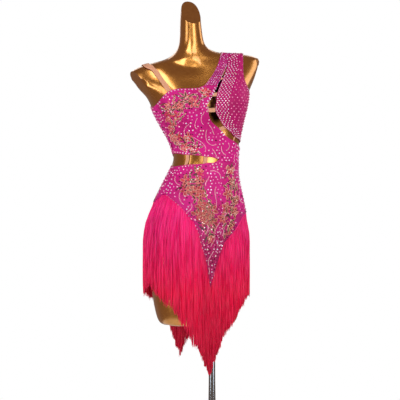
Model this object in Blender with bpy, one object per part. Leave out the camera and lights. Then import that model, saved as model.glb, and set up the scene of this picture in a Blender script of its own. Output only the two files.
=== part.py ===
"""Latin dance dress, worn on a limbless dress form that stands on a pole and a round base.

Frame: the origin is the middle of the base's underside, +Z is up, the dress faces -Y and the
wearer's left side is +X.  Tables and sizes are in millimetres and degrees; the meshes are in
metres.  A place on the body is given as (angle, height): angle 0 is the middle of the front,
90 the wearer's left side, 180 (or -180) the middle of the back, 270 (or -90) the right side.
"""

import math
from bisect import bisect_right

import bmesh
import bpy
from mathutils import Vector

MM = 0.001                  # one millimetre in Blender's metres

# ---------------------------------------------------------------- driving dimensions

SEAM = 0.3                  # gap between neighbouring cut pieces
CLOTH_GAP = 2.2             # inside of the cloth to the form
CLOTH_WALL = 1.4            # thickness of the stretch cloth
FORM_SIDES = 40             # columns of the dress form
ROUNDNESS = 2.3             # superellipse exponent of the body's cross-sections

HEM_HEIGHT = 567            # flat underside of the dress form
POLE_RADIUS = 9.8           # thin upper tube of the pole
POLE_FOOT_RADIUS = 11.8     # thicker lower tube
POLE_STEP_HEIGHT = 350      # middle of the taper between the two tubes
POLE_STEP_LENGTH = 15
POLE_SIDES = 32
BASE_RADIUS = 155
BASE_THICKNESS = 6
BASE_EDGE = 1.5             # chamfer round the rim of the base
BASE_SIDES = 48
CLOTH_SHARP_ANGLE = 40      # edges sharper than this stay crisp in the shading
FORM_SHARP_ANGLE = 35

STRIP_WIDTH = 6.0           # fringe tape, measured square to the edge that it follows
STRIP_DROP_MAX = 24.0       # longest vertical drop of the tape, where the edge is steep
STRAND_PITCH = 2.6          # degrees of the body for each strand
STRAND_WIDTH = 0.74         # share of the pitch that a strand fills
STRAND_TIP = 0.6            # width at the tip, as a share of the width below the root
STRAND_LIFT = 3.2           # how far a strand stands off the cloth's plane at the hips
STRAND_STAGGER = 0.7        # neighbouring strands stand off by this much more, in turn
STRAND_STAGGERS = 3
LIFT_DROP = 120             # how far a strand falls before it stands off fully
ROOT_DROP = 4               # from the tape to a strand's first ring
STRAND_FACES = (0.1, 0.9)   # inner and outer face of a strand, as shares of the wall
HIP_HEIGHT = 800            # widest level: below it the fringe hangs straight down
RING_STEP = 42              # spacing of a strand's rings above the hips
RING_STEP_LAST = 55         # the last step above the hips may be this long
HIP_ARC = 2.3               # length of the body's surface for each degree, near the hips

BODY_SECTIONS = (
    # height, centre_x, half_width, front_depth, back_depth
    (567, -47, 106, 78, 82),
    (571, -47, 115, 86, 90),
    (580, -47, 121, 91, 95),
    (600, -47, 128, 95, 99),
    (640, -47, 135, 99, 103),
    (700, -48, 145, 104, 112),
    (760, -49, 154, 107, 120),
    (800, -49, 159, 108, 123),
    (850, -48, 155, 105, 122),
    (900, -45, 147, 101, 115),
    (950, -40, 132, 94, 104),
    (1000, -33, 114, 86, 92),
    (1040, -25, 102, 80, 84),
    (1068, -19, 99, 78, 80),
    (1100, -20, 101, 80, 80),
    (1150, -30, 117, 88, 86),
    (1200, -38, 137, 98, 94),
    (1230, -41, 147, 99, 98),
    (1262, -44, 158, 92, 98),
    (1290, -48, 181, 82, 94),
    (1320, -52, 200, 70, 86),
    (1343, -52, 206, 60, 74),
    (1351, -52, 203, 56, 67),
    (1359, -52, 189, 52, 62),
    (1364, -53, 173, 50, 59),
    (1369, -54, 143, 48, 56),
    (1374, -56, 101, 46, 52),
    (1381, -59, 76, 43, 48),
    (1389, -62, 58, 40, 45),
    (1399, -64, 46, 37, 41),
    (1412, -65, 38, 35, 38),
    (1432, -66, 34, 34, 36),
    (1466, -68, 32, 33, 35),
    (1500, -69.5, 30, 32, 34),
    (1530, -67, 28, 31, 34),
    (1558, -65, 27, 30, 34),
)
SHOULDER_TILT = (
    # height, slope: the wearer's left shoulder is carried higher than the right
    (567, 0.0),
    (1000, 0.0),
    (1100, 0.02),
    (1200, 0.05),
    (1300, 0.09),
    (1345, 0.135),
    (1385, 0.135),
    (1440, 0.0),
    (1550, 0.0),
)
SHOULDER_LEVELS = (1344, 1392)      # from the widest level of the shoulders to the neck
SHOULDER_HALVINGS = 30      # a level on the shoulder is found by halving this many times
BUST_ANGLE = 32
BUST_HEIGHT = 1222
BUST_RISE = 24
BUST_HALF_ANGLE = 24
BUST_HALF_HEIGHT = 52
BUST_SIDEWAYS = 0.7         # the mounds rise less sideways than forward

# rows of the dress form between the rows of the table above, where its profile is hollow
FORM_EXTRA_LEVELS = (670, 730, 825, 875, 925, 975, 1020, 1054, 1084, 1125, 1175, 1215, 1246, 1276)
FORM_TOP = 1552

ARM_CUTS = (
    # side, lowest_z, point, normal: above its lowest level the shoulder ends flat on this plane
    (-1, 1210, (-228, 0, 1285), (-0.837, -0.118, -0.536)),
    (1, 1256, (155.6, 0, 1376), (0.925, 0.0, -0.381)),
)
SHOULDER_CORE = (-52, 0, 1300)      # inside the chest; the shoulder ends are drawn towards it
NECK_CUT_POINT = (-70, 0, 1510)
NECK_CUT_NORMAL = (0.0, -0.76, 0.65)

# ---------------------------------------------------------------- edges of the cut pieces

WAIST_CUT = (
    # angle, upper_height, lower_height, bridged: the open waist from the right side to its tip
    (-90, 1085, 1043, False),
    (-72, 1083, 1042, False),
    (-50, 1078, 1045, True),
    (-43, 1077, 1047, False),
    (-26, 1076, 1048, False),
    (-16, 1072, 1049, True),
    (-9.5, 1070, 1053, False),
    (0, 1069, 1052, False),
    (6, 1062, 1062, False),
)
WAIST_SEAM_FRONT = ((18, 1056), (34, 1053), (72, 1055), (90, 1056))
WAIST_SEAM_BACK = ((90, 1056), (125, 1056), (165, 1056), (200, 1057), (216, 1060))
WAIST_CUT_BACK = (
    # angle, upper_height, lower_height: the same opening carried on round the back
    (228, 1069, 1052),
    (248, 1080, 1045),
    (270, 1085, 1043),
)

DIAGONAL_CUT = (
    # lower_angle, lower_height, upper_angle, upper_height, bridged
    (30.8, 1366, 30.8, 1366, False),
    (20.4, 1342, 20.4, 1342, False),
    (16.8, 1323, 18.4, 1322, False),
    (13.2, 1300, 14.8, 1300, True),
    (12.0, 1295, 13.9, 1295, False),
    (8.0, 1276, 10.6, 1276, False),
    (3.5, 1256, 6.8, 1256, True),
    (1.2, 1245, 5.2, 1245, False),
    (-2.6, 1228, 4.2, 1228, False),
    (-4.0, 1220, 3.4, 1219, False),
    (-2.9, 1213, 3.0, 1213, True),
    (-3.0, 1201, 3.0, 1201, False),
    (-1.8, 1181, 6.6, 1186, False),
    (1.0, 1168, 10.0, 1174, False),
    (7.5, 1157, 13.4, 1162, True),
    (10.8, 1147, 18.0, 1154, False),
    (15.5, 1138, 23.5, 1148, False),
    (24.0, 1125, 30.0, 1139, False),
    (33.0, 1119, 36.0, 1131, True),
    (36.0, 1118, 39.0, 1129, False),
    (46.0, 1111, 49.0, 1125, False),
    (58.0, 1105, 60.0, 1121, False),
    (70.0, 1099, 70.0, 1118, False),
    (80.0, 1095, 80.0, 1115, False),
    (90.0, 1093, 90.0, 1113, False),
)
BAND_JOIN_ROW = 5           # row of the table above where the neck band meets the bodice
CUT_FOOT_ROW = 14           # row of the table above where the shoulder piece's foot begins

# on top of the shoulders an edge is given as (angle, x), because the surface is nearly level there
NECK_SIDE_SHOULDER = ((90, 27), (62, 24), (42, 18), (28, 12))
BAND_SEAM_SHOULDER = ((90, 58), (62, 52), (44, 44))
ARM_SIDE_SHOULDER = ((90, 96), (66, 92), (49.5, 85), (42, 84))
NECK_SIDE_SHOULDER_BACK = ((90, 27), (115, 24), (134, 18), (150, 6))
ARM_SIDE_SHOULDER_BACK = ((128, 99), (110, 97), (90, 96))

NECKLINE_BAND = ((12.5, 1347), (9.2, 1328), (5.2, 1307), (1.2, 1290), (-2.0, 1279))
NECKLINE_FRONT = ((-35.5, 1272), (-29, 1274), (-14, 1272), (-7, 1272.5), (-2.0, 1279))
ARMHOLE_RIGHT = ((-90, 1229), (-78, 1231), (-59, 1245), (-49, 1258), (-42, 1267), (-35.5, 1272))
ARMHOLE_LEFT = ((37.6, 1345), (37, 1331), (38.8, 1297), (46.5, 1275), (57.2, 1262), (74, 1254),
                (90, 1252))
ARMHOLE_LEFT_BACK = ((90, 1252), (106, 1256), (120, 1268), (130, 1295), (133, 1331), (133, 1350))
NECKLINE_BACK = ((162, 1345), (168, 1320), (175, 1298), (186, 1280), (198, 1265), (210, 1254),
                 (216, 1251), (240, 1238), (256, 1232), (270, 1229))
SIDE_NOTCH_ANGLE = 112      # where the diagonal cut ends, past the wearer's left side

STRAP_FRONT = (
    # outer_angle, outer_height, inner_angle, inner_height
    (-42, 1267, -35.5, 1272),
    (-40.6, 1308, -34.8, 1300),
    (-44, 1345, -36.5, 1340),
)
STRAP_SHOULDER = (
    # outer_angle, outer_x, inner_angle, inner_x
    (-56, -219, -46, -196),
    (-72, -221, -66, -203),
    (-90, -219, -90, -204),
    (-110, -214, -114, -199),
    (-128, -205, -134, -189),
)
STRAP_BACK = (
    # outer_angle, outer_height, inner_angle, inner_height
    (-137, 1320, -143, 1320),
    (-141, 1285, -147, 1285),
    (-144, 1251, -150, 1254),
)

HEM_FRONT_RIGHT = ((-90, 936), (-78, 957), (-64, 959), (-56, 950), (-40, 933), (-26, 910),
                   (-17, 889), (-11, 865), (-8, 846), (-6, 816), (-4, 795), (-2.2, 777),
                   (-0.6, 745), (0.5, 713), (1.6, 684))
HEM_FRONT_LEFT = ((90, 905), (66, 901), (51, 897), (39, 871), (28, 844), (18.5, 825),
                  (14.5, 812), (12.2, 792), (9.6, 772), (7.4, 748), (5.0, 722), (3.2, 702),
                  (1.6, 684))
HEM_BACK_LEFT = ((90, 905), (106, 902), (125, 890), (145, 871), (158, 850), (166, 831), (170, 819),
                 (172.5, 809), (175, 797), (177.5, 783), (180, 767), (182.5, 750), (185, 731))
HEM_BACK_RIGHT = ((270, 936), (256, 934), (238, 929), (221, 910), (209, 888), (201, 864), (196, 840),
                  (192.5, 812), (190, 784), (187.5, 757), (185, 731))

FRINGE_LENGTHS = {
    # strip: (share of the strip from the side to the point of the V, length)
    "fringe_front_right": ((0.0, 254), (0.13, 266), (0.24, 290), (0.5, 305), (0.57, 311),
                           (0.62, 326), (0.69, 337), (0.74, 356), (0.77, 360), (0.80, 338),
                           (0.84, 328), (0.91, 318), (0.94, 290), (1.0, 246)),
    "fringe_front_left": ((0.0, 240), (0.2, 243), (0.5, 255), (0.64, 262), (0.69, 270),
                          (0.79, 272), (0.83, 262), (0.88, 264), (0.92, 252), (1.0, 254)),
    "fringe_back_left": ((0.0, 240), (0.3, 270), (1.0, 275)),
    "fringe_back_right": ((0.0, 254), (0.3, 272), (1.0, 275)),
}
RAGGED_ENDS = (0, 7, -5, 3, -8, 5, -2)      # added to the lengths, strand after strand

# ---------------------------------------------------------------- materials

MAGENTA = ("magenta_stretch", "#C2186E", 0.0, 0.45)
NUDE = ("nude_elastic", "#D99A76", 0.0, 0.6)
FRINGE_PINK = ("fringe_pink", "#DB1F52", 0.0, 0.5)
GOLD = ("gold_form", "#B8793A", 1.0, 0.28)
CHROME = ("chrome", "#C8CACD", 1.0, 0.08)


def linear(channel):
    """sRGB channel, 0 to 1, as a linear value."""
    return channel / 12.92 if channel <= 0.04045 else ((channel + 0.055) / 1.055) ** 2.4


def material(name, colour, metallic, roughness):
    """Material of a plain look, made once and shared by the pieces that have it."""
    found = bpy.data.materials.get(name)
    if found:
        return found
    made = bpy.data.materials.new(name)
    made.use_nodes = True
    shader = made.node_tree.nodes["Principled BSDF"]
    red, green, blue = (linear(int(colour[i:i + 2], 16) / 255) for i in (1, 3, 5))
    shader.inputs["Base Color"].default_value = (red, green, blue, 1)
    shader.inputs["Metallic"].default_value = metallic
    shader.inputs["Roughness"].default_value = roughness
    return made


# ---------------------------------------------------------------- the body's surface

def smooth_value(places, values, place):
    """Value at a place of a table, by a cubic curve that never overshoots its rows."""
    last = len(places) - 2
    row = min(max(bisect_right(places, place) - 1, 0), last)
    steps = [places[i + 1] - places[i] for i in range(last + 1)]
    slopes = [(values[i + 1] - values[i]) / steps[i] for i in range(last + 1)]

    def tangent(i):
        if i == 0:
            return slopes[0]
        if i == last + 1:
            return slopes[last]
        before, after = slopes[i - 1], slopes[i]
        if before * after <= 0:
            return 0.0
        weight_before = 2 * steps[i] + steps[i - 1]
        weight_after = steps[i] + 2 * steps[i - 1]
        return (weight_before + weight_after) / (weight_before / before + weight_after / after)

    step = steps[row]
    t = (place - places[row]) / step
    return ((2 * t**3 - 3 * t**2 + 1) * values[row]
            + (t**3 - 2 * t**2 + t) * step * tangent(row)
            + (3 * t**2 - 2 * t**3) * values[row + 1]
            + (t**3 - t**2) * step * tangent(row + 1))


def straight_value(table, place):
    """Value at a place of a table of (place, value) rows, by straight lines."""
    for (start, low), (end, high) in zip(table, table[1:]):
        if place <= end:
            return low + (high - low) * (place - start) / (end - start)
    return table[-1][1]


SECTION_COLUMNS = tuple(zip(*BODY_SECTIONS))
SECTION_CACHE = {}


def section(height):
    """Centre, half width, front and back depth and slope of the body at a height."""
    key = round(height, 4)
    if key not in SECTION_CACHE:
        heights = SECTION_COLUMNS[0]
        sizes = [smooth_value(heights, column, height) for column in SECTION_COLUMNS[1:]]
        SECTION_CACHE[key] = (*sizes, straight_value(SHOULDER_TILT, height))
    return SECTION_CACHE[key]


def bust_rise(angle, height):
    """How far the two soft mounds of the bust lift the surface."""
    around = (angle + 180) % 360 - 180
    rise = 0.0
    for side in (-1, 1):
        across = (around - side * BUST_ANGLE) / BUST_HALF_ANGLE
        up = (height - BUST_HEIGHT) / BUST_HALF_HEIGHT
        reach = math.hypot(across, up) / 2
        if reach < 1:
            rise += BUST_RISE * math.cos(reach * math.pi / 2) ** 2
    return rise


def body_point(angle, height):
    """Point of the body's surface, in millimetres."""
    centre, width, front, back, slope = section(height)
    turn = math.radians(angle)
    sine, cosine = math.sin(turn), math.cos(turn)
    power = 2 / ROUNDNESS
    across = math.copysign(abs(sine) ** power, sine)
    forward = math.copysign(abs(cosine) ** power, cosine)
    depth = front if cosine >= 0 else back
    rise = bust_rise(angle, height)
    x = centre + width * across + BUST_SIDEWAYS * rise * sine
    y = -depth * forward - rise * cosine
    return Vector((x, y, height + slope * (x - centre)))


def on_shoulder(angle, x):
    """Place on top of a shoulder, at an angle, whose distance from the middle is x."""
    low, high = SHOULDER_LEVELS
    for _ in range(SHOULDER_HALVINGS):
        height = (low + high) / 2
        if abs(body_point(angle, height).x - section(height)[0]) > abs(x - section(height)[0]):
            low = height
        else:
            high = height
    return (angle, height)


def body_normal(angle, height):
    """Outward normal of the body's surface."""
    around = body_point(angle + 0.5, height) - body_point(angle - 0.5, height)
    upward = body_point(angle, height + 0.5) - body_point(angle, height - 0.5)
    return around.cross(upward).normalized()


# ---------------------------------------------------------------- making solids

def add_solid(name, points, faces, look, smooth=True, short_diagonals=False):
    """One closed solid from points in millimetres."""
    mesh = bpy.data.meshes.new(name)
    mesh.from_pydata([Vector(point) * MM for point in points], [], faces)
    shell = bmesh.new()
    shell.from_mesh(mesh)
    bmesh.ops.recalc_face_normals(shell, faces=shell.faces)
    if short_diagonals:
        bmesh.ops.triangulate(shell, faces=shell.faces, quad_method="SHORT_EDGE")
    shell.to_mesh(mesh)
    shell.free()
    mesh.materials.append(material(*look))
    if smooth:
        mesh.shade_smooth()
        mesh.set_sharp_from_angle(angle=math.radians(CLOTH_SHARP_ANGLE))
    made = bpy.data.objects.new(name, mesh)
    bpy.context.collection.objects.link(made)
    return made


def turned(name, profile, sides, look):
    """Solid of revolution about the Z axis; the profile runs from its lowest to its top centre."""
    inner = profile[1:-1]
    points = [(0, 0, profile[0][1])]
    for radius, height in inner:
        for i in range(sides):
            turn = 2 * math.pi * i / sides
            points.append((radius * math.cos(turn), radius * math.sin(turn), height))
    points.append((0, 0, profile[-1][1]))
    top = len(points) - 1
    faces = []
    for i in range(sides):
        after = (i + 1) % sides
        faces.append((0, 1 + after, 1 + i))
        faces.append((top, top - sides + i, top - sides + after))
        for ring in range(len(inner) - 1):
            low, high = 1 + ring * sides, 1 + (ring + 1) * sides
            faces.append((low + i, low + after, high + after, high + i))
    return add_solid(name, points, faces, look)


def spread(edge, cells, by_angle=False):
    """Places along an edge, its own corners kept, with the given number of cells."""
    def size(start, end):
        if by_angle:
            return abs(end[0] - start[0])
        return (body_point(*end) - body_point(*start)).length

    sizes = [size(start, end) for start, end in zip(edge, edge[1:])]
    counts = [1] * len(sizes)
    for _ in range(cells - len(sizes)):
        widest = max(range(len(sizes)), key=lambda i: sizes[i] / counts[i])
        counts[widest] += 1
    return divided(edge, counts)


def divided(edge, counts):
    """Places along an edge, with the given number of cells on each of its straight runs."""
    places = [tuple(edge[0])]
    for start, end, count in zip(edge, edge[1:], counts):
        for step in range(1, count + 1):
            share = step / count
            places.append(tuple(a + (b - a) * share for a, b in zip(start, end)))
    return places


def patch(bottom, top, left, right, easing=0, fade=1):
    """Grid of places between four edges; bottom and top run left to right, the others upward.

    The rows are straight between the side edges, plus the bow of the bottom and top edges,
    which fades with the distance from them to the power of fade.  Easing is the number of
    passes that even out the cells inside.
    """
    columns, rows = len(bottom) - 1, len(left) - 1
    grid = []
    for j in range(rows + 1):
        v = j / rows
        line = []
        for i in range(columns + 1):
            u = i / columns
            place = []
            for k in (0, 1):
                bow_low = bottom[i][k] - (1 - u) * bottom[0][k] - u * bottom[-1][k]
                bow_high = top[i][k] - (1 - u) * top[0][k] - u * top[-1][k]
                place.append((1 - u) * left[j][k] + u * right[j][k]
                             + (1 - v) ** fade * bow_low + v ** fade * bow_high)
            line.append(tuple(place))
        grid.append(line)
    for _ in range(easing):
        eased = [list(line) for line in grid]
        for j in range(1, rows):
            for i in range(1, columns):
                around = (grid[j - 1][i], grid[j + 1][i], grid[j][i - 1], grid[j][i + 1])
                eased[j][i] = tuple(sum(place[k] for place in around) / 4 for k in (0, 1))
        grid = eased
    return grid


def cloth(name, grid, look, left_out=()):
    """Thin closed wall over a grid of places; left_out lists (row, column) cells that are open."""
    rows, columns = len(grid), len(grid[0])
    middle = [[body_point(*place) for place in line] for line in grid]
    drawn_in = [[point.copy() for point in line] for line in middle]

    def inset(point, inside, before, after):
        """Half a seam towards the inside, square to the edge that runs from before to after."""
        along = (after - before).normalized()
        inward = inside - point
        return (inward - along * inward.dot(along)).normalized() * SEAM / 2

    for j in range(rows):
        for i, step in ((0, 1), (columns - 1, -1)):
            drawn_in[j][i] += inset(middle[j][i], middle[j][i + step],
                                    middle[max(j - 1, 0)][i], middle[min(j + 1, rows - 1)][i])
    for i in range(columns):
        for j, step in ((0, 1), (rows - 1, -1)):
            drawn_in[j][i] += inset(middle[j][i], middle[j + step][i],
                                    middle[j][max(i - 1, 0)], middle[j][min(i + 1, columns - 1)])
    used = {}
    points = []

    def corner(j, i, side):
        if (j, i, side) not in used:
            offset = CLOTH_GAP + side * CLOTH_WALL
            used[j, i, side] = len(points)
            points.append(drawn_in[j][i] + body_normal(*grid[j][i]) * offset)
        return used[j, i, side]

    faces, border = [], {}
    for j in range(rows - 1):
        for i in range(columns - 1):
            if (j, i) in left_out:
                continue
            ring = ((j, i), (j, i + 1), (j + 1, i + 1), (j + 1, i))
            faces.append([corner(*place, 1) for place in ring])
            faces.append([corner(*place, 0) for place in reversed(ring)])
            for start, end in zip(ring, ring[1:] + ring[:1]):
                if border.pop((end, start), None) is None:
                    border[start, end] = True
    for start, end in border:
        faces.append([corner(*end, 1), corner(*start, 1), corner(*start, 0), corner(*end, 0)])
    return add_solid(name, points, faces, look, short_diagonals=True)


# ---------------------------------------------------------------- dress form, pole and base

def flatten_shoulder_end(shell, side, lowest, point, normal):
    """Cut the surface along a plane and draw all that lies beyond it back onto the plane."""
    def reached(vertex):
        return vertex.co.z > lowest and vertex.co.x * side > 0

    faces = [face for face in shell.faces if all(reached(vertex) for vertex in face.verts)]
    region = set(faces)
    for face in faces:
        region.update(face.verts)
        region.update(face.edges)
    bmesh.ops.bisect_plane(shell, geom=list(region), dist=1e-7, plane_co=point, plane_no=normal)
    core = Vector(SHOULDER_CORE) * MM
    for vertex in shell.verts:
        beyond = (vertex.co - point).dot(normal)
        if reached(vertex) and beyond > 0:
            ray = vertex.co - core
            vertex.co -= ray * (beyond / ray.dot(normal))


def dress_form():
    """Limbless body, with flat shoulder ends and a slanting flat cut across the neck."""
    levels = sorted({row[0] for row in BODY_SECTIONS[:-1]} | set(FORM_EXTRA_LEVELS) | {FORM_TOP})
    points, faces = [], []
    for height in levels:
        for i in range(FORM_SIDES):
            points.append(body_point(360 * i / FORM_SIDES, height))
    for ring in range(len(levels) - 1):
        low, high = ring * FORM_SIDES, (ring + 1) * FORM_SIDES
        for i in range(FORM_SIDES):
            after = (i + 1) % FORM_SIDES
            faces.append((low + i, low + after, high + after, high + i))
    faces.append(tuple(reversed(range(FORM_SIDES))))
    faces.append(tuple(range(len(points) - FORM_SIDES, len(points))))
    form = add_solid("dress_form", points, faces, GOLD)
    shell = bmesh.new()
    shell.from_mesh(form.data)
    for side, lowest, point, normal in ARM_CUTS:
        flatten_shoulder_end(shell, side, lowest * MM, Vector(point) * MM, Vector(normal).normalized())
    everything = list(shell.verts) + list(shell.edges) + list(shell.faces)
    cut = bmesh.ops.bisect_plane(shell, geom=everything, dist=1e-7, plane_co=Vector(NECK_CUT_POINT) * MM,
                                 plane_no=NECK_CUT_NORMAL, clear_outer=True)
    rim = [item for item in cut["geom_cut"] if isinstance(item, bmesh.types.BMEdge)]
    bmesh.ops.holes_fill(shell, edges=rim, sides=0)
    bmesh.ops.recalc_face_normals(shell, faces=shell.faces)
    shell.to_mesh(form.data)
    shell.free()
    form.data.shade_smooth()
    form.data.set_sharp_from_angle(angle=math.radians(FORM_SHARP_ANGLE))


def stand():
    """Stepped pole and round base, each turned about the frame's Z axis."""
    step_low = POLE_STEP_HEIGHT - POLE_STEP_LENGTH / 2
    step_high = POLE_STEP_HEIGHT + POLE_STEP_LENGTH / 2
    pole_foot, pole_top = BASE_THICKNESS + SEAM, HEM_HEIGHT - SEAM
    turned("stand_pole", ((0, pole_foot), (POLE_FOOT_RADIUS, pole_foot), (POLE_FOOT_RADIUS, step_low),
                          (POLE_RADIUS, step_high), (POLE_RADIUS, pole_top), (0, pole_top)),
           POLE_SIDES, CHROME)
    rim = BASE_RADIUS - BASE_EDGE
    turned("base_plate", ((0, 0), (rim, 0), (BASE_RADIUS, BASE_EDGE),
                          (BASE_RADIUS, BASE_THICKNESS - BASE_EDGE),
                          (rim, BASE_THICKNESS), (0, BASE_THICKNESS)), BASE_SIDES, CHROME)


# ---------------------------------------------------------------- bodice

def lower_cut(start, end):
    """Lower edge of the diagonal cut, between two rows of its table."""
    return [(row[0], row[1]) for row in DIAGONAL_CUT[start:end]]


def upper_cut(start, end):
    """Upper edge of the diagonal cut, between two rows of its table."""
    return [(row[2], row[3]) for row in DIAGONAL_CUT[start:end]]


def waist_edge(column):
    """Edge of the waist opening on the front: column 1 is the upper, 2 the lower one."""
    return [(row[0], row[column]) for row in WAIST_CUT]


def bodice_front():
    """From the neckline to the waist, with the diagonal cut along its left side."""
    cut = lower_cut(BAND_JOIN_ROW, None)
    right = divided(cut + [(90, 1056)], [1] * (len(cut) - 1) + [3])[::-1]
    left = divided([(-90, 1085), (-90, 1130)] + list(ARMHOLE_RIGHT), (9, 5, 1, 2, 2, 2, 1))
    bottom = waist_edge(1) + list(WAIST_SEAM_FRONT)
    top = list(NECKLINE_FRONT) + [DIAGONAL_CUT[BAND_JOIN_ROW][:2]]
    columns = 15
    grid = patch(spread(bottom, columns), spread(top, columns), left, right, easing=4)
    cloth("bodice_front", grid, MAGENTA)


def shoulder_edge(table):
    """Places of an edge that runs over the top of a shoulder."""
    return [on_shoulder(angle, x) for angle, x in table]


def neck_band():
    """Strip between the neckline and the diagonal cut, up to the wearer's left shoulder."""
    counts = (2, 2, 1, 1, 1, 1, 1, 1)
    left = divided(shoulder_edge(NECK_SIDE_SHOULDER) + list(NECKLINE_BAND), counts)[::-1]
    right = shoulder_edge(BAND_SEAM_SHOULDER) + lower_cut(0, BAND_JOIN_ROW + 1)
    right = divided(right, counts)[::-1]
    bottom = spread([left[0], right[0]], 2)
    top = spread([left[-1], right[-1]], 2)
    cloth("neck_band", patch(bottom, top, left, right), MAGENTA)


def shoulder_front():
    """The wearer's left shoulder and side, above the diagonal cut."""
    edge = shoulder_edge(BAND_SEAM_SHOULDER) + upper_cut(0, CUT_FOOT_ROW + 1)
    left = divided(edge, [2, 2] + [1] * (len(edge) - 3))[::-1]
    armhole = shoulder_edge(ARM_SIDE_SHOULDER) + list(ARMHOLE_LEFT)
    right = divided(armhole + [(90, 1113)], (2, 2, 1, 1, 1, 2, 1, 2, 2, 1, 4))[::-1]
    foot = upper_cut(CUT_FOOT_ROW, None)
    columns = len(foot) - 1
    top = spread([left[-1], right[-1]], columns)
    cloth("shoulder_front", patch(foot, top, left, right, fade=3), MAGENTA)


def bodice_back():
    """Plain back, from the waist to the left shoulder and the low neckline."""
    armhole = list(ARMHOLE_LEFT_BACK) + shoulder_edge(ARM_SIDE_SHOULDER_BACK)
    neckline = shoulder_edge(NECK_SIDE_SHOULDER_BACK) + list(NECKLINE_BACK)
    left = divided([(90, 1056), (90, 1093), (90, 1113)] + armhole, (2, 1, 6, 1, 1, 1, 2, 2, 1, 1, 1))
    right = divided([(270, 1085)] + neckline[::-1], (4, 1, 1, 2, 1, 1, 1, 1, 1, 1, 1, 1, 1, 2))
    bottom = list(WAIST_SEAM_BACK) + [(row[0], row[1]) for row in WAIST_CUT_BACK]
    columns = 16
    grid = patch(spread(bottom, columns), spread([left[-1], right[-1]], columns), left, right)
    notch_row = left.index((90, 1093))
    grid[notch_row][1] = (SIDE_NOTCH_ANGLE, 1101)
    grid[notch_row + 1][1] = (SIDE_NOTCH_ANGLE, 1106)
    cloth("bodice_back", grid, MAGENTA, left_out={(notch_row, 0)})


def strap():
    """Bare-coloured strap from the neckline over the right shoulder to the back."""
    over = [on_shoulder(*row[:2]) + on_shoulder(*row[2:]) for row in STRAP_SHOULDER]
    edges = list(STRAP_FRONT) + over + list(STRAP_BACK)
    halves = [2] * (len(edges) - 1)
    outer = divided([row[:2] for row in edges], halves)
    inner = divided([row[2:] for row in edges], halves)
    ends = spread([outer[0], inner[0]], 2), spread([outer[-1], inner[-1]], 2)
    cloth("shoulder_strap", patch(ends[0], ends[1], outer, inner), NUDE)


def bridges():
    """Bare-coloured bands that hold the two sides of each opening together."""
    number = 0
    for row, after in zip(DIAGONAL_CUT, DIAGONAL_CUT[1:]):
        if row[4]:
            number += 1
            bottom = spread([after[:2], after[2:4]], 2)
            top = spread([row[:2], row[2:4]], 2)
            left = spread([bottom[0], top[0]], 2)
            right = spread([bottom[-1], top[-1]], 2)
            cloth(f"cut_bridge_{number}", patch(bottom, top, left, right), NUDE)
    number = 0
    for row, after in zip(WAIST_CUT, WAIST_CUT[1:]):
        if row[3]:
            number += 1
            bottom = spread([(row[0], row[2]), (after[0], after[2])], 2)
            top = spread([(row[0], row[1]), (after[0], after[1])], 2)
            left = spread([bottom[0], top[0]], 3)
            right = spread([bottom[-1], top[-1]], 3)
            cloth(f"waist_bridge_{number}", patch(bottom, top, left, right), NUDE)


# ---------------------------------------------------------------- hip panels

def hip_front():
    """V-shaped front of the skirt, from the waist down to the fringe tapes."""
    hem = list(HEM_FRONT_RIGHT) + list(HEM_FRONT_LEFT)[-2::-1]
    hem = divided(hem, [1] * (len(hem) - 2) + [2])
    top = divided(waist_edge(2) + list(WAIST_SEAM_FRONT), (1, 2, 1, 2, 2, 2, 2, 2, 4, 4, 3, 2))
    rows = 13
    cloth("hip_front", patch(hem, top, spread([hem[0], top[0]], rows), spread([hem[-1], top[-1]], rows)),
          MAGENTA)


def above(places, edge):
    """Places on an edge straight above others; each of the edge's own corners takes the nearest."""
    matched = [(angle, straight_value(edge, angle)) for angle, _ in places]
    for corner in edge[1:-1]:
        nearest = min(range(1, len(places) - 1), key=lambda i: abs(places[i][0] - corner[0]))
        matched[nearest] = tuple(corner)
    return matched


def hip_back():
    """Plain V-shaped back of the skirt."""
    hem = spread(list(HEM_BACK_LEFT) + list(HEM_BACK_RIGHT)[-2::-1], 26)
    top = above(hem, list(WAIST_SEAM_BACK) + [(row[0], row[2]) for row in WAIST_CUT_BACK])
    rows = 11
    cloth("hip_back", patch(hem, top, spread([hem[0], top[0]], rows), spread([hem[-1], top[-1]], rows)),
          MAGENTA)


# ---------------------------------------------------------------- fringe

def hanging_point(angle, height, offset):
    """Point beside the body above the hips, and straight below the hips' surface under them."""
    level = max(height, HIP_HEIGHT)
    point = body_point(angle, level) + body_normal(angle, level) * offset
    return Vector((point.x, point.y, point.z - (level - height)))


def tape_drops(stations):
    """Vertical drop of the tape at each station, so that its width square to the edge is even."""
    drops = []
    for i in range(len(stations)):
        start, end = stations[max(i - 1, 0)], stations[min(i + 1, len(stations) - 1)]
        run = abs(end[0] - start[0]) * HIP_ARC
        steepness = math.hypot(run, end[1] - start[1]) / run
        drops.append(min(STRIP_WIDTH * steepness, STRIP_DROP_MAX))
    neighbours = [drops[max(i - 1, 0):i + 2] for i in range(len(drops))]
    return [sum(group) / len(group) for group in neighbours]


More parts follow.
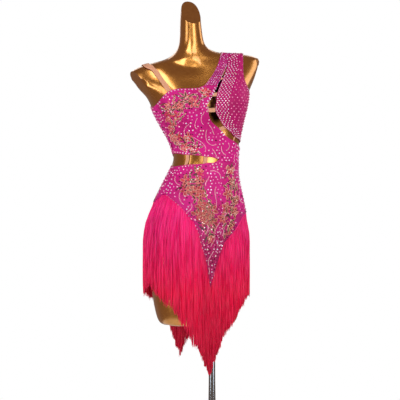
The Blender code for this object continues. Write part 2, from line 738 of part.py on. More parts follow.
def tape(stations, drops):
    """Points and faces of the tape; each station has its top inner, top outer, low inner, low outer."""
    last = len(stations) - 1
    inward = math.copysign(SEAM / 2 / HIP_ARC, stations[-1][0] - stations[0][0])
    drawn_in = {0: inward, last: -inward}
    points, faces = [], []
    for i, ((angle, height), drop) in enumerate(zip(stations, drops)):
        normal = body_normal(angle, height)
        for level in (height - SEAM * drop / STRIP_WIDTH, height - drop):
            for offset in (CLOTH_GAP, CLOTH_GAP + CLOTH_WALL):
                points.append(body_point(angle + drawn_in.get(i, 0), level) + normal * offset)
    for i in range(last):
        here, after = 4 * i, 4 * (i + 1)
        faces.append((here, here + 1, after + 1, after))
        faces.append((here + 1, here + 3, after + 3, after + 1))
        faces.append((here + 2, here, after, after + 2))
    end = 4 * last
    faces.append((0, 2, 3, 1))
    faces.append((end, end + 1, end + 3, end + 2))
    return points, faces


def strand_heights(root, end_height):
    """Levels of a strand's rings: it follows the body down to the hips, then falls straight."""
    heights = [root - ROOT_DROP]
    while heights[-1] > HIP_HEIGHT + RING_STEP_LAST:
        heights.append(heights[-1] - RING_STEP)
    if heights[-1] > HIP_HEIGHT:
        heights.append(HIP_HEIGHT)
    return heights + [end_height]


def fringe(name, hem):
    """A tape along one side of the V, with its strands fused to it by their roots."""
    pitches = abs(hem[-1][0] - hem[0][0]) / STRAND_PITCH
    stations = spread(hem, max(round(pitches), len(hem) - 1), by_angle=True)
    drops = tape_drops(stations)
    points, faces = tape(stations, drops)
    strands = len(stations) - 1
    thin, thick = (share * CLOTH_WALL for share in STRAND_FACES)
    for i in range(strands):
        start, after = stations[i], stations[i + 1]
        ring = (4 * i + 2, 4 * i + 3, 4 * i + 7, 4 * i + 6)
        root = min(start[1] - drops[i], after[1] - drops[i + 1])
        length = straight_value(FRINGE_LENGTHS[name], i / strands) + RAGGED_ENDS[i % len(RAGGED_ENDS)]
        end_height = (start[1] + after[1]) / 2 - length
        centre = (start[0] + after[0]) / 2
        half = (after[0] - start[0]) / 2 * STRAND_WIDTH
        stand_off = STRAND_LIFT + (i % STRAND_STAGGERS) * STRAND_STAGGER
        for height in strand_heights(root, end_height):
            lift = CLOTH_GAP + min(max((root - height) / LIFT_DROP, 0), 1) * stand_off
            width = half * (STRAND_TIP if height == end_height else 1)
            first = len(points)
            for angle, outward in ((centre - width, thin), (centre - width, thick),
                                   (centre + width, thick), (centre + width, thin)):
                points.append(hanging_point(angle, height, lift + outward))
            new = (first, first + 1, first + 2, first + 3)
            for k in range(4):
                faces.append((ring[k], ring[(k + 1) % 4], new[(k + 1) % 4], new[k]))
            ring = new
        faces.append(ring)
    add_solid(name, points, faces, FRINGE_PINK, smooth=False)


def build():
    for item in list(bpy.data.objects):
        bpy.data.objects.remove(item, do_unlink=True)
    dress_form()
    stand()
    bodice_front()
    neck_band()
    shoulder_front()
    bodice_back()
    strap()
    bridges()
    hip_front()
    hip_back()
    fringe("fringe_front_right", HEM_FRONT_RIGHT)
    fringe("fringe_front_left", HEM_FRONT_LEFT)
    fringe("fringe_back_left", HEM_BACK_LEFT)
    fringe("fringe_back_right", HEM_BACK_RIGHT)


build()
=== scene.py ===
"""Latin dance dress with a fringed V hem, worn on a gold dress form with a pole and a round base.

Everything is in metres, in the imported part's own frame: +Z is up, the dress faces -Y and the
wearer's left side is +X.
"""

from math import copysign, cos, floor, hypot, pi, radians, sin

import bmesh
import bpy
import numpy as np
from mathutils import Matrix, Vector
from mathutils.bvhtree import BVHTree


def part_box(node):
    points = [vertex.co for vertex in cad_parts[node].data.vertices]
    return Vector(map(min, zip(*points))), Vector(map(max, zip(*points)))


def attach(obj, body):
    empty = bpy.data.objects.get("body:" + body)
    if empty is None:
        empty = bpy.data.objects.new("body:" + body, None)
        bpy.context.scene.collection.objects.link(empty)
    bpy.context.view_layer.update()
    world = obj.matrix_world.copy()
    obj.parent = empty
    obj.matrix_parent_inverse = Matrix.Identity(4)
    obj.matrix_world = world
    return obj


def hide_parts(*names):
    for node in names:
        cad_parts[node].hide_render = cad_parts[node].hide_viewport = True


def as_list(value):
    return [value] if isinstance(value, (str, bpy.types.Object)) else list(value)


MM = 0.001
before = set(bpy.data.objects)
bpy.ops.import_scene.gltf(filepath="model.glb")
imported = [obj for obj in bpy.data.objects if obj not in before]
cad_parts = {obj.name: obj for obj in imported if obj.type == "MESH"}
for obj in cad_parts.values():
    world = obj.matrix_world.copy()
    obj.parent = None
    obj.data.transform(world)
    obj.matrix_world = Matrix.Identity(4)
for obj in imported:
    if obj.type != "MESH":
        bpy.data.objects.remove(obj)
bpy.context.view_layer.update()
bpy.ops.object.select_all(action="DESELECT")

# -------------------------------- the dress form
# A limbless display form, moulded in two halves of glass-fibre plastic, filled, sanded smooth and
# sprayed with gold lacquer under a clear coat.  Its shoulder ends and its neck are cut flat, with
# edges that the coats of lacquer have rounded.

FORM_LEVELS = 2
FORM_SMOOTHING = 14
FORM_SHARP = radians(33)
FORM_EDGE_RADIUS = 1.6 * MM
SAME_POINT = 0.02 * MM
FACET_LIMIT = radians(40)           # two triangles flatter than this make one four-sided face

THROAT = (
    # x, height, half width, half height and depth of each hollow at the root of the neck, in
    # millimetres; the ones with a negative depth are the two tendons that rise between them
    (-134, 1350, 25, 26, 10.0),
    (-90, 1338, 30, 17, 6.0),
    (-76, 1366, 4, 22, -1.0),
    (-63, 1362, 4, 20, -0.8),
)
SHOULDER_TIP = (153.5 * MM, 0, 1371 * MM)       # the top of the left shoulder's cut is rubbed round
RUBBED_REACH = 34 * MM
RUBS = 16
PAINTED_SHADE_REACH = (8 * MM, 22 * MM)     # painted shade: the form is painted dark this near the upper cut, and clear beyond it
PAINTED_SHADE_SHARES = (1, 1, 0.45)               # share of each run between the upper cut's elastics that is painted dark, as painted shade


def select_only(piece):
    bpy.ops.object.select_all(action="DESELECT")
    piece.select_set(True)
    bpy.context.view_layer.objects.active = piece


def apply_modifier(piece, kind, **settings):
    """Give a piece a modifier with these settings, and apply it."""
    select_only(piece)
    modifier = piece.modifiers.new(kind.title(), kind)
    for name, value in settings.items():
        setattr(modifier, name, value)
    bpy.ops.object.modifier_apply(modifier=modifier.name)


def opened(piece):
    """The piece's mesh, open for editing."""
    shell = bmesh.new()
    shell.from_mesh(piece.data)
    return shell


def close(shell, piece):
    shell.to_mesh(piece.data)
    shell.free()


def relax(shell, points, passes):
    """Smooth some points of an open mesh by drawing them towards their neighbours."""
    for _ in range(passes):
        bmesh.ops.smooth_vert(
            shell, verts=points, factor=0.5, use_axis_x=True, use_axis_y=True, use_axis_z=True)


def finer_copy(node, name, sharp, levels, passes):
    """A finer and rounder copy of one of the frame's solids, with its sharp edges kept."""
    piece = bpy.data.objects.new(name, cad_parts[node].data.copy())
    piece.data.name = name
    piece.data.materials.clear()
    bpy.context.collection.objects.link(piece)
    select_only(piece)
    bpy.ops.mesh.customdata_custom_splitnormals_clear()
    shell = opened(piece)
    bmesh.ops.remove_doubles(shell, verts=shell.verts, dist=SAME_POINT)
    bmesh.ops.join_triangles(
        shell, faces=shell.faces, angle_face_threshold=FACET_LIMIT, angle_shape_threshold=pi)
    crease = shell.edges.layers.float.new("crease_edge")
    for edge in shell.edges:
        if edge.calc_face_angle(0) > sharp:
            edge[crease] = 1
    close(shell, piece)
    apply_modifier(piece, "SUBSURF", levels=levels, render_levels=levels)
    shell = opened(piece)
    held = {vertex for edge in shell.edges if edge.calc_face_angle(0) > sharp for vertex in edge.verts}
    relax(shell, [vertex for vertex in shell.verts if vertex not in held], passes)
    close(shell, piece)
    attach(piece, "root")
    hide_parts(node)
    return piece


def shade(piece, angle):
    select_only(piece)
    bpy.ops.object.shade_smooth_by_angle(angle=angle)


def points_of(piece):
    flat = np.empty(len(piece.data.vertices) * 3)
    piece.data.vertices.foreach_get("co", flat)
    return flat.reshape(-1, 3)


def set_points(piece, points):
    piece.data.vertices.foreach_set("co", points.ravel())
    piece.data.update()


def hex_colour(code):
    """An sRGB hex colour as linear red, green, blue and alpha."""
    channels = [int(code[i:i + 2], 16) / 255 for i in (1, 3, 5)]
    return (*(c / 12.92 if c <= 0.04045 else ((c + 0.055) / 1.055) ** 2.4 for c in channels), 1)


def output_of(source):
    """The socket itself, or a node's first output that is in use."""
    if isinstance(source, bpy.types.Node):
        return next(socket for socket in source.outputs if socket.enabled)
    return source


def set_sockets(tree, node, values):
    """Set a node's sockets to numbers or hex colours, or link them to other nodes."""
    for name, value in values.items():
        if isinstance(value, (bpy.types.Node, bpy.types.NodeSocket)):
            tree.links.new(output_of(value), node.inputs[name])
        else:
            node.inputs[name].default_value = hex_colour(value) if isinstance(value, str) else value


def add_node(tree, kind, sockets=(), **settings):
    """Add a shader node with its settings, and its sockets' values or links."""
    made = tree.nodes.new("ShaderNode" + kind)
    for name, value in settings.items():
        setattr(made, name, value)
    set_sockets(tree, made, dict(sockets))
    return made


def set_shader(tree, **values):
    """Set or link the sockets of a finish's own shader."""
    named = {name.replace("_", " "): value for name, value in values.items()}
    set_sockets(tree, tree.nodes["Principled BSDF"], named)


def new_finish(name, **values):
    """A material with a Principled shader; the values are set on the shader's own sockets."""
    finish = bpy.data.materials.new(name)
    finish.use_nodes = True
    set_shader(finish.node_tree, **values)
    return finish, finish.node_tree


dress_form = finer_copy("dress_form", "gold_form", FORM_SHARP, FORM_LEVELS, FORM_SMOOTHING)
places = points_of(dress_form)
for x, height, half_width, half_height, depth in THROAT:
    off = ((places[:, 0] / MM - x) / half_width) ** 2 + ((places[:, 2] / MM - height) / half_height) ** 2
    places[:, 1] += np.where(places[:, 1] < 0, depth * MM * np.exp(-off), 0)
set_points(dress_form, places)
apply_modifier(
    dress_form, "BEVEL", width=FORM_EDGE_RADIUS, segments=3, limit_method="ANGLE", angle_limit=FORM_SHARP)
shell = opened(dress_form)
rubbed = [vertex for vertex in shell.verts if (vertex.co - Vector(SHOULDER_TIP)).length < RUBBED_REACH]
relax(shell, rubbed, RUBS)
close(shell, dress_form)

# painted shade: where the upper part of the dress's cut spans a hollow of the form, the form is painted dark,
# for the shade that lies there
places = points_of(dress_form)
gap = np.full(len(places), 1.0)
bridge_places = [sum(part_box(f"cut_bridge_{i}"), Vector()) / 2 for i in (1, 2, 3, 4)]
for start, end, share in zip(bridge_places, bridge_places[1:], PAINTED_SHADE_SHARES):
    along = np.array((end - start) * share)
    offset = places - np.array(start)
    part = np.clip(offset @ along / (along @ along), 0, 1)
    gap = np.minimum(gap, np.linalg.norm(offset - part[:, None] * along, axis=1))
# mask of the painted shade: 1 at the upper cut, fading to 0 beyond it
painted_shade_layer = dress_form.data.attributes.new("shade", "FLOAT", "POINT")
painted_shade_layer.data.foreach_set("value", np.interp(gap, PAINTED_SHADE_REACH, (1, 0)))
shade(dress_form, FORM_SHARP)

# Sprayed gold lacquer: a metal pigment under clear gloss.  It mirrors the room softly, in brown and
# cream, with the slight orange peel of a sprayed coat.  Near the upper cut its colour is painted
# dark brown and its clear coat is taken away, as painted shade.
lacquer, tree = new_finish("sprayed_gold_lacquer", Metallic=1.0, Coat_Roughness=0.08, Coat_IOR=1.55)
place_on = add_node(tree, "TexCoord").outputs["Object"]
flake = add_node(tree, "TexNoise", {"Vector": place_on, "Scale": 1 / (9 * MM), "Detail": 3.0})
tone = add_node(tree, "ValToRGB", {"Fac": flake})
for stop, position, code in zip(tone.color_ramp.elements, (0.3, 0.7), ("#CC8C40", "#DA9C4E")):
    stop.position, stop.color = position, hex_colour(code)
cloudy = add_node(tree, "TexNoise", {"Vector": place_on, "Scale": 1 / (70 * MM), "Detail": 2.0})
gloss = add_node(tree, "MapRange", {"Value": cloudy, "To Min": 0.19, "To Max": 0.27})
peel = add_node(tree, "TexNoise", {"Vector": place_on, "Scale": 1 / (5 * MM), "Detail": 1.0})
bump = add_node(tree, "Bump", {"Height": peel, "Strength": 0.012, "Distance": 0.2 * MM})
# painted shade: near the upper cut the gold is mixed towards dark brown and loses its clear coat
painted_shade_mask = add_node(tree, "Attribute", attribute_name="shade").outputs["Fac"]
coat = add_node(tree, "Mix", {"Factor": painted_shade_mask, "A": tone, "B": "#1C0A06"}, data_type="RGBA")
clear = add_node(tree, "MapRange", {"Value": painted_shade_mask, "To Min": 0.75, "To Max": 0.0})
set_shader(tree, Coat_Weight=clear, Base_Color=coat, Roughness=gloss, Normal=bump)
dress_form.data.materials.append(lacquer)

# -------------------------------- the pole and the base
# A pole of chromed steel tube, its thin upper tube set in a thicker foot, which stands on a round
# base plate that is cut from steel sheet, with its rim rounded, and chromed.

# Chrome plate over polished steel: a cold mirror, a little dulled in patches where it was handled.
chrome, tree = new_finish("polished_chrome_plate", Metallic=1.0, Base_Color="#A2B0BE")
place_on = add_node(tree, "TexCoord").outputs["Object"]
handled = add_node(tree, "TexNoise", {"Vector": place_on, "Scale": 1 / (25 * MM), "Detail": 4.0})
gloss = add_node(tree, "MapRange", {"Value": handled, "To Min": 0.05, "To Max": 0.16})
set_shader(tree, Roughness=gloss)

BASE_EDGE_RADIUS = 1.4 * MM
BASE_SHARP = radians(60)
CHROME_SHARP = radians(35)
TUBE_SHARP = radians(20)
base_low, base_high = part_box("base_plate")
base_thickness = base_high.z - base_low.z
bpy.ops.mesh.primitive_cylinder_add(
    vertices=128, radius=base_high.x, depth=base_thickness, location=(0, 0, base_thickness / 2))
base = bpy.context.object
base.name = base.data.name = "base_disc"
bpy.ops.object.transform_apply(location=True, rotation=True, scale=True)
apply_modifier(
    base, "BEVEL", width=BASE_EDGE_RADIUS, segments=3, limit_method="ANGLE", angle_limit=BASE_SHARP)
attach(base, "root")
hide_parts("base_plate")
pole = finer_copy("stand_pole", "pole_tubes", TUBE_SHARP, 1, 0)
for piece in (base, pole):
    shade(piece, CHROME_SHARP)
    piece.data.materials.append(chrome)

# -------------------------------- the stretch cloth panels
# Warp-knitted polyamide and elastane, dyed magenta, with a soft satin face.  The panels are cut a
# little small and stretch over the body, so they lie smooth, with a few drag lines near the cuts.

CLOTH_SHARP = radians(55)
CLOTH_LEVELS = 2
CLOTH_SMOOTHING = 6
BAND_SMOOTHING = 2
PANELS = ("bodice_front", "neck_band", "shoulder_front", "bodice_back", "hip_front", "hip_back")
# the shoulder and the neck band: their knit is painted darker, as painted shade
PAINTED_SHADE_PANELS = ("neck_band", "shoulder_front")

CORE_X = -45 * MM           # the upright line inside the body that places are measured round
FAN_START = 1300 * MM       # above this height, places fan out over the shoulders
FAN_REACH = 200 * MM        # length along the shoulder for each radian of the fan
OUTSIDE = 0.5               # this far from the core is outside of everything

DRAG_LINES = (
    # panel, turn_1, height_1, turn_2, height_2, half_width, depth: in degrees and millimetres
    ("bodice_front", 12, 1072, 48, 1092, 5.0, -0.8),
    ("bodice_front", 16, 1063, 60, 1074, 6.0, 0.7),
    ("bodice_front", -64, 1098, -34, 1112, 6.0, -0.7),
    ("bodice_front", -70, 1150, -48, 1168, 7.0, -0.6),
    ("bodice_front", -30, 1262, -8, 1248, 5.0, -0.6),
    ("hip_front", 14, 1046, 52, 1026, 6.0, -0.9),
    ("hip_front", 20, 1034, 66, 1008, 7.0, 0.8),
    ("hip_front", -70, 1024, -34, 1014, 7.0, -0.8),
    ("hip_front", -74, 1000, -46, 992, 8.0, 0.6),
    ("hip_front", -40, 905, -12, 880, 9.0, 0.6),
    ("shoulder_front", 40, 1300, 52, 1262, 6.0, -0.7),
    ("shoulder_front", 56, 1160, 82, 1140, 7.0, -0.8),
    ("bodice_back", 120, 1090, 158, 1078, 7.0, -0.9),
    ("bodice_back", 132, 1120, 176, 1104, 8.0, 0.8),
    ("bodice_back", -120, 1110, -150, 1128, 8.0, -0.8),
    ("hip_back", 118, 1030, 160, 1012, 8.0, -0.9),
    ("hip_back", -116, 1028, -152, 1006, 8.0, 0.8),
    ("hip_back", 168, 960, -172, 880, 10.0, -0.8),
)


def turn_and_height(points):
    """Turn and height of many points: turn 0 is the front and 90 degrees the wearer's left."""
    x, y, z = points[:, 0] - CORE_X, points[:, 1], points[:, 2]
    fan = np.arctan2(z - FAN_START, np.hypot(x, y))
    return np.arctan2(x, -y), np.where(z > FAN_START, FAN_START + FAN_REACH * fan, z)


def press_drag_lines(piece, panel):
    """Press the panel's drag lines into its wall, as soft troughs or ridges along its normals."""
    points = points_of(piece)
    normals = np.empty(points.size)
    piece.data.vertex_normals.foreach_get("vector", normals)
    radial = points - (CORE_X, 0, 0)
    radial[:, 2] = 0
    outward = np.sign((normals.reshape(-1, 3) * radial).sum(1))[:, None]
    turns, heights = turn_and_height(points)
    reach = np.hypot(points[:, 0] - CORE_X, points[:, 1])
    shift = np.zeros(len(points))
    for line_panel, turn_1, height_1, turn_2, height_2, half_width, depth in DRAG_LINES:
        if line_panel != panel:
            continue
        start = radians(turn_1)
        sweep = (radians(turn_2) - start + pi) % (2 * pi) - pi
        along = np.stack([sweep * reach, np.full(len(points), (height_2 - height_1) * MM)], 1)
        offset_turn = (turns - start + pi) % (2 * pi) - pi
        offset = np.stack([offset_turn * reach, heights - height_1 * MM], 1)
        share = np.clip((offset * along).sum(1) / (along * along).sum(1), 0, 1)
        gap = np.linalg.norm(offset - along * share[:, None], axis=1)
        shift += depth * MM * np.sin(share * pi) * np.exp(-(gap / (half_width * MM)) ** 2)
    set_points(piece, points + normals.reshape(-1, 3) * outward * shift[:, None])


panels = {}
for panel in PANELS:
    made = finer_copy(panel, "cloth_" + panel, CLOTH_SHARP, CLOTH_LEVELS, CLOTH_SMOOTHING)
    press_drag_lines(made, panel)
    shade(made, CLOTH_SHARP)
    panels[panel] = made

# Bare-coloured elastic: narrow woven bands, matt and finely ribbed across, that hold the cuts
# together, and the strap over the right shoulder.
CUT_BRIDGES = [f"cut_bridge_{number}" for number in range(1, 6)]
bands = {}
for band in ["shoulder_strap", "waist_bridge_1", "waist_bridge_2", *CUT_BRIDGES]:
    made = finer_copy(band, "elastic_" + band, CLOTH_SHARP, CLOTH_LEVELS, BAND_SMOOTHING)
    shade(made, CLOTH_SHARP)
    bands[band] = made


def tree_of(pieces):
    """Search tree of some pieces, and the piece that each of its faces belongs to."""
    points, faces, owners = [], [], []
    for piece in pieces:
        first = len(points)
        points += [vertex.co.copy() for vertex in piece.data.vertices]
        faces += [[first + i for i in face.vertices] for face in piece.data.polygons]
        owners += [piece.name] * len(piece.data.polygons)
    return BVHTree.FromPolygons(points, faces), owners


skin, skin_owners = tree_of([dress_form, *panels.values(), *bands.values()])


def meet(turn, height):
    """Point, normal and piece where a line from outside to the body's core meets the surface."""
    rise = max(height - FAN_START, 0) / FAN_REACH
    core = Vector((CORE_X, 0, min(height, FAN_START)))
    out = Vector((sin(turn) * cos(rise), -cos(turn) * cos(rise), sin(rise)))
    point, normal, face, _ = skin.ray_cast(core + out * OUTSIDE, -out)
    return point, normal, skin_owners[face]


# the length round the surface from the middle of the front, for each row of heights
ROW_STEP = 5 * MM
ROW_HEIGHTS = np.arange(572 * MM, 1500 * MM, ROW_STEP)
COLUMN_TURNS = np.radians(np.arange(-180, 181, 2))
COLUMN_STEP = COLUMN_TURNS[1] - COLUMN_TURNS[0]
surface = np.array([[meet(turn, height)[0] for turn in COLUMN_TURNS] for height in ROW_HEIGHTS])
arcs = np.cumsum(np.linalg.norm(np.diff(surface, axis=1), axis=2), axis=1)
arcs = np.concatenate([np.zeros((len(arcs), 1)), arcs], axis=1)
arcs -= arcs[:, [len(COLUMN_TURNS) // 2]]


def row_of(height):
    return min(max(round((height - ROW_HEIGHTS[0]) / ROW_STEP), 0), len(ROW_HEIGHTS) - 1)


def on_body(arc, height):
    """Point, normal and piece at a length round the body and a height."""
    row = arcs[row_of(height)]
    arc = (arc - row[0]) % (row[-1] - row[0]) + row[0]
    return meet(float(np.interp(arc, row, COLUMN_TURNS)), height)


def lay_out(piece):
    """UV map in metres, round and up the body, so that a knit follows the cloth."""
    turns, heights = turn_and_height(points_of(piece))
    if np.ptp(turns) > pi:
        turns = np.where(turns < 0, turns + 2 * pi, turns)
    rows = np.clip(np.rint((heights - ROW_HEIGHTS[0]) / ROW_STEP).astype(int), 0, len(arcs) - 1)
    columns = (turns + pi) % (2 * pi) / COLUMN_STEP
    low = np.clip(columns.astype(int), 0, len(COLUMN_TURNS) - 2)
    flat = arcs[rows, low] + (arcs[rows, low + 1] - arcs[rows, low]) * (columns - low)
    flat += np.where(turns > pi, arcs[rows, -1] - arcs[rows, 0], 0)
    corners = np.empty(len(piece.data.loops), int)
    piece.data.loops.foreach_get("vertex_index", corners)
    layer = piece.data.uv_layers.new(name="cut")
    layer.uv.foreach_set("vector", np.stack([flat, heights], 1)[corners].ravel())


# Stretch satin knit: the face is smooth and soft, lighter where it is seen along the surface.  The
# loops are 0.3 mm apart in the real cloth and are drawn at 1.1 mm, so that they show at all.  The
# dye is cloudy; towards the point of the V the colour is painted darker and redder, as painted shade
# and painted red light thrown back from the fringe.
LOOP_SPACING = 1.1 * MM
KNIT_SCALE = pi / (10 * LOOP_SPACING)       # a wave node's bands are pi / 10 apart at a scale of 1
magenta, tree = new_finish(
    "magenta_stretch_satin_knit", Sheen_Weight=0.12, Sheen_Roughness=0.35, Sheen_Tint="#D98CF0",
    Specular_IOR_Level=0.22)
cut = add_node(tree, "UVMap", uv_map="cut").outputs["UV"]
place_on = add_node(tree, "TexCoord").outputs["Object"]
dye = add_node(tree, "TexNoise", {"Vector": place_on, "Scale": 1 / (45 * MM), "Detail": 3.0})
tone = add_node(tree, "ValToRGB", {"Fac": dye})
for stop, position, code in zip(tone.color_ramp.elements, (0.25, 0.75), ("#B80A68", "#D81088")):
    stop.position, stop.color = position, hex_colour(code)
wales = add_node(tree, "TexWave", {"Vector": cut, "Scale": KNIT_SCALE}, bands_direction="X")
courses = add_node(
    tree, "TexWave", {"Vector": cut, "Scale": KNIT_SCALE, "Distortion": 0.6}, bands_direction="Y")
loops = add_node(tree, "Math", {0: wales.outputs["Fac"], 1: courses.outputs["Fac"]}, operation="MULTIPLY")
pull = add_node(tree, "TexNoise", {"Vector": place_on, "Scale": 1 / (12 * MM), "Detail": 2.0})
relief = add_node(tree, "Math", {0: pull, 1: 0.5, 2: loops}, operation="MULTIPLY_ADD")
bump = add_node(tree, "Bump", {"Height": relief, "Strength": 0.35, "Distance": 0.25 * MM})
gloss = add_node(tree, "MapRange", {"Value": dye, "To Min": 0.42, "To Max": 0.55})
# painted shade and painted light from the fringe: below this height the knit is mixed towards dark red
level = add_node(tree, "SeparateXYZ", {"Vector": place_on}).outputs["Z"]
deeper = add_node(tree, "MapRange", {"Value": level, "From Min": 0.93, "From Max": 0.79, "To Max": 0.8})
dyed = add_node(tree, "Mix", {"Factor": deeper, "A": tone, "B": "#8E0640"}, data_type="RGBA")
set_shader(tree, Base_Color=dyed, Roughness=gloss, Normal=bump)
# painted shade: the shoulder and the neck get a copy of the same knit whose colours are painted darker
painted_shade_magenta = magenta.copy()
painted_shade_magenta.name = "painted_shade_magenta_stretch_satin_knit"
painted_shade_tone = painted_shade_magenta.node_tree.nodes[tone.name]
for stop, code in zip(painted_shade_tone.color_ramp.elements, ("#A20656", "#C20C70")):
    stop.color = hex_colour(code)
for panel, made in panels.items():
    lay_out(made)
    made.data.materials.append(painted_shade_magenta if panel in PAINTED_SHADE_PANELS else magenta)

# Woven elastic: matt, with its colour painted lighter on top of its ribs and darker between them, as
# painted light and shade; the ribs are drawn as wide as real ones get, so that they show.
RIB_SPACING = 1.2 * MM
elastic, tree = new_finish(
    "bare_coloured_woven_elastic", Roughness=0.62, Sheen_Weight=0.2, Specular_IOR_Level=0.3)
cut = add_node(tree, "UVMap", uv_map="cut").outputs["UV"]
ribs = add_node(
    tree, "TexWave", {"Vector": cut, "Scale": pi / (10 * RIB_SPACING), "Distortion": 0.4},
    bands_direction="Y").outputs["Fac"]
# painted light and shade: lighter colour on the ribs' tops, darker in the grooves
tone = add_node(tree, "Mix", {"Factor": ribs, "A": "#C4845E", "B": "#E8AC86"}, data_type="RGBA")
bump = add_node(tree, "Bump", {"Height": ribs, "Strength": 0.5, "Distance": 0.2 * MM})
set_shader(tree, Base_Color=tone, Normal=bump)
for made in bands.values():
    lay_out(made)
    made.data.materials.append(elastic)

# -------------------------------- hems and stitches
# Every edge that meets no other panel is turned under and sewn down with a line of small stitches
# in matching thread, five millimetres in from the edge.

OPEN_GAP = 1.6 * MM         # an edge is open where nothing else of the dress is this near
SHORTEST_WALK = 9           # points; a shorter run is a fold in the wall and no edge
OUTER_FACE = 0.3            # a face that looks away from the core by this much is the cloth's outside
STITCH_INSET = 5 * MM
STITCH_PITCH = 3.6 * MM
STITCH_SIZE = (2.3 * MM, 0.55 * MM, 0.35 * MM)

fringe_nodes = [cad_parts[name] for name in sorted(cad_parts) if name.startswith("fringe_")]


def edge_walks(piece):
    """Runs of points along the outer rim of a panel's wall, each with its way into the panel."""
    shell = opened(piece)
    shell.normal_update()
    shell.verts.ensure_lookup_table()
    steps, inward = {}, {}
    for edge in shell.edges:
        if edge.calc_face_angle(0) < CLOTH_SHARP:
            continue
        middle = (edge.verts[0].co + edge.verts[1].co) / 2
        out = (middle - Vector((CORE_X, 0, min(middle.z, FAN_START)))).normalized()
        # the outer loop belongs to the face that looks away from the core
        wall, rim = sorted(edge.link_faces, key=lambda face: -face.normal.dot(out))
        if wall.normal.dot(out) < OUTER_FACE:
            continue
        for vertex, other in (edge.verts, reversed(edge.verts)):
            steps.setdefault(vertex.index, []).append(other.index)
            inward[vertex.index] = -rim.normal.copy()
    points = {index: shell.verts[index].co.copy() for index in steps}
    shell.free()
    walks, seen = [], set()
    for start in steps:
        if start in seen:
            continue
        walk, onward = [], [start]
        while onward:
            walk.append(onward[0])
            seen.add(onward[0])
            onward = [index for index in steps[onward[0]] if index not in seen]
        if len(walk) >= SHORTEST_WALK:
            walks.append([(points[index], inward[index]) for index in walk + walk[:1]])
    return walks


def open_edge_places(panel, inset, pitch):
    """Evenly spaced points and normals along a panel's open edges, set in from them, and the way on."""
    piece = panels[panel]
    others, _ = tree_of([p for p in [*panels.values(), *fringe_nodes] if p is not piece])
    own, _ = tree_of([piece])
    places = []
    for walk in edge_walks(piece):
        travelled, due = 0.0, pitch / 2
        for (start, inward), (end, _) in zip(walk, walk[1:]):
            step = (end - start).length
            while due <= travelled + step and step > 0:
                point = start.lerp(end, (due - travelled) / step)
                due += pitch
                if others.find_nearest(point, OPEN_GAP)[0] is not None:
                    continue
                found = own.find_nearest(point + inward * inset)
                places.append((found[0], found[1], (end - start).normalized()))
            travelled += step
    return places


def new_piece(name, points, faces):
    """A new piece of the dress, made from its points and faces."""
    mesh = bpy.data.meshes.new(name)
    mesh.from_pydata(points, [], faces)
    piece = bpy.data.objects.new(name, mesh)
    bpy.context.collection.objects.link(piece)
    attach(piece, "root")
    return piece


def spread_copies(name, template, places, sizes, spins=None, sink=0.0):
    """One mesh of many copies of a template, each set on the surface at a place with a normal."""
    shape = points_of(template)
    points, normals, ways = (np.array([place[i] for place in places]) for i in range(3))
    ways = ways - normals * (ways * normals).sum(1)[:, None]
    ways /= np.linalg.norm(ways, axis=1)[:, None]
    across = np.cross(normals, ways)
    if spins is not None:
        cosine, sine = np.cos(spins)[:, None], np.sin(spins)[:, None]
        ways, across = ways * cosine + across * sine, across * cosine - ways * sine
    scales = np.broadcast_to(np.asarray(sizes, float).reshape(len(sizes), -1), (len(points), 3))
    local = shape[None] * scales[:, None]
    spread = (points[:, None] - normals[:, None] * sink + local[..., 0:1] * ways[:, None]
              + local[..., 1:2] * across[:, None] + local[..., 2:3] * normals[:, None])
    faces = [[first + corner for corner in face.vertices]
             for first in range(0, len(points) * len(shape), len(shape)) for face in template.data.polygons]
    return new_piece(name, spread.reshape(-1, 3).tolist(), faces)


def edit_points(piece, wanted):
    """Go into edit mode with only the wanted points of a piece selected."""
    bpy.ops.object.mode_set(mode="EDIT")
    bpy.ops.mesh.select_mode(type="VERT")
    bpy.ops.mesh.select_all(action="DESELECT")
    bpy.ops.object.mode_set(mode="OBJECT")
    for vertex in piece.data.vertices:
        vertex.select = wanted(vertex.co)
    bpy.ops.object.mode_set(mode="EDIT")


# one stitch, whose two ends dip into the cloth
bpy.ops.object.select_all(action="DESELECT")
bpy.ops.mesh.primitive_ico_sphere_add(subdivisions=1, radius=0.5)
stitch = bpy.context.object
edit_points(stitch, lambda point: abs(point.x) > 0.35)
bpy.ops.transform.translate(value=(0, 0, -0.45))
bpy.ops.object.mode_set(mode="OBJECT")
stitch_places = []
for panel in PANELS:
    stitch_places += open_edge_places(panel, STITCH_INSET, STITCH_PITCH)
stitches = spread_copies("hem_stitches", stitch, stitch_places, [STITCH_SIZE] * len(stitch_places))
bpy.data.objects.remove(stitch)

# Twisted polyester sewing thread: a dull shine, with painted shine and shade along its twist.
thread, tree = new_finish("matching_polyester_thread", Roughness=0.5)
place_on = add_node(tree, "TexCoord").outputs["Object"]
twist = add_node(tree, "TexWave", {"Vector": place_on, "Scale": 1 / (2 * MM), "Distortion": 1.0})
# painted shine and shade: the colour is lighter and darker along the twist
shine = {"Factor": twist.outputs["Fac"], "A": "#A80F58", "B": "#D0307F"}
tone = add_node(tree, "Mix", shine, data_type="RGBA")
set_shader(tree, Base_Color=tone)
stitches.data.materials.append(thread)

# -------------------------------- embroidered sprays
# Loose sprays of five-petalled flowers and pointed leaves, machine-embroidered in coral, crimson and
# dark brown satin stitch, and mostly outlined with a couched cord of pale peach.

chance = np.random.default_rng(11)

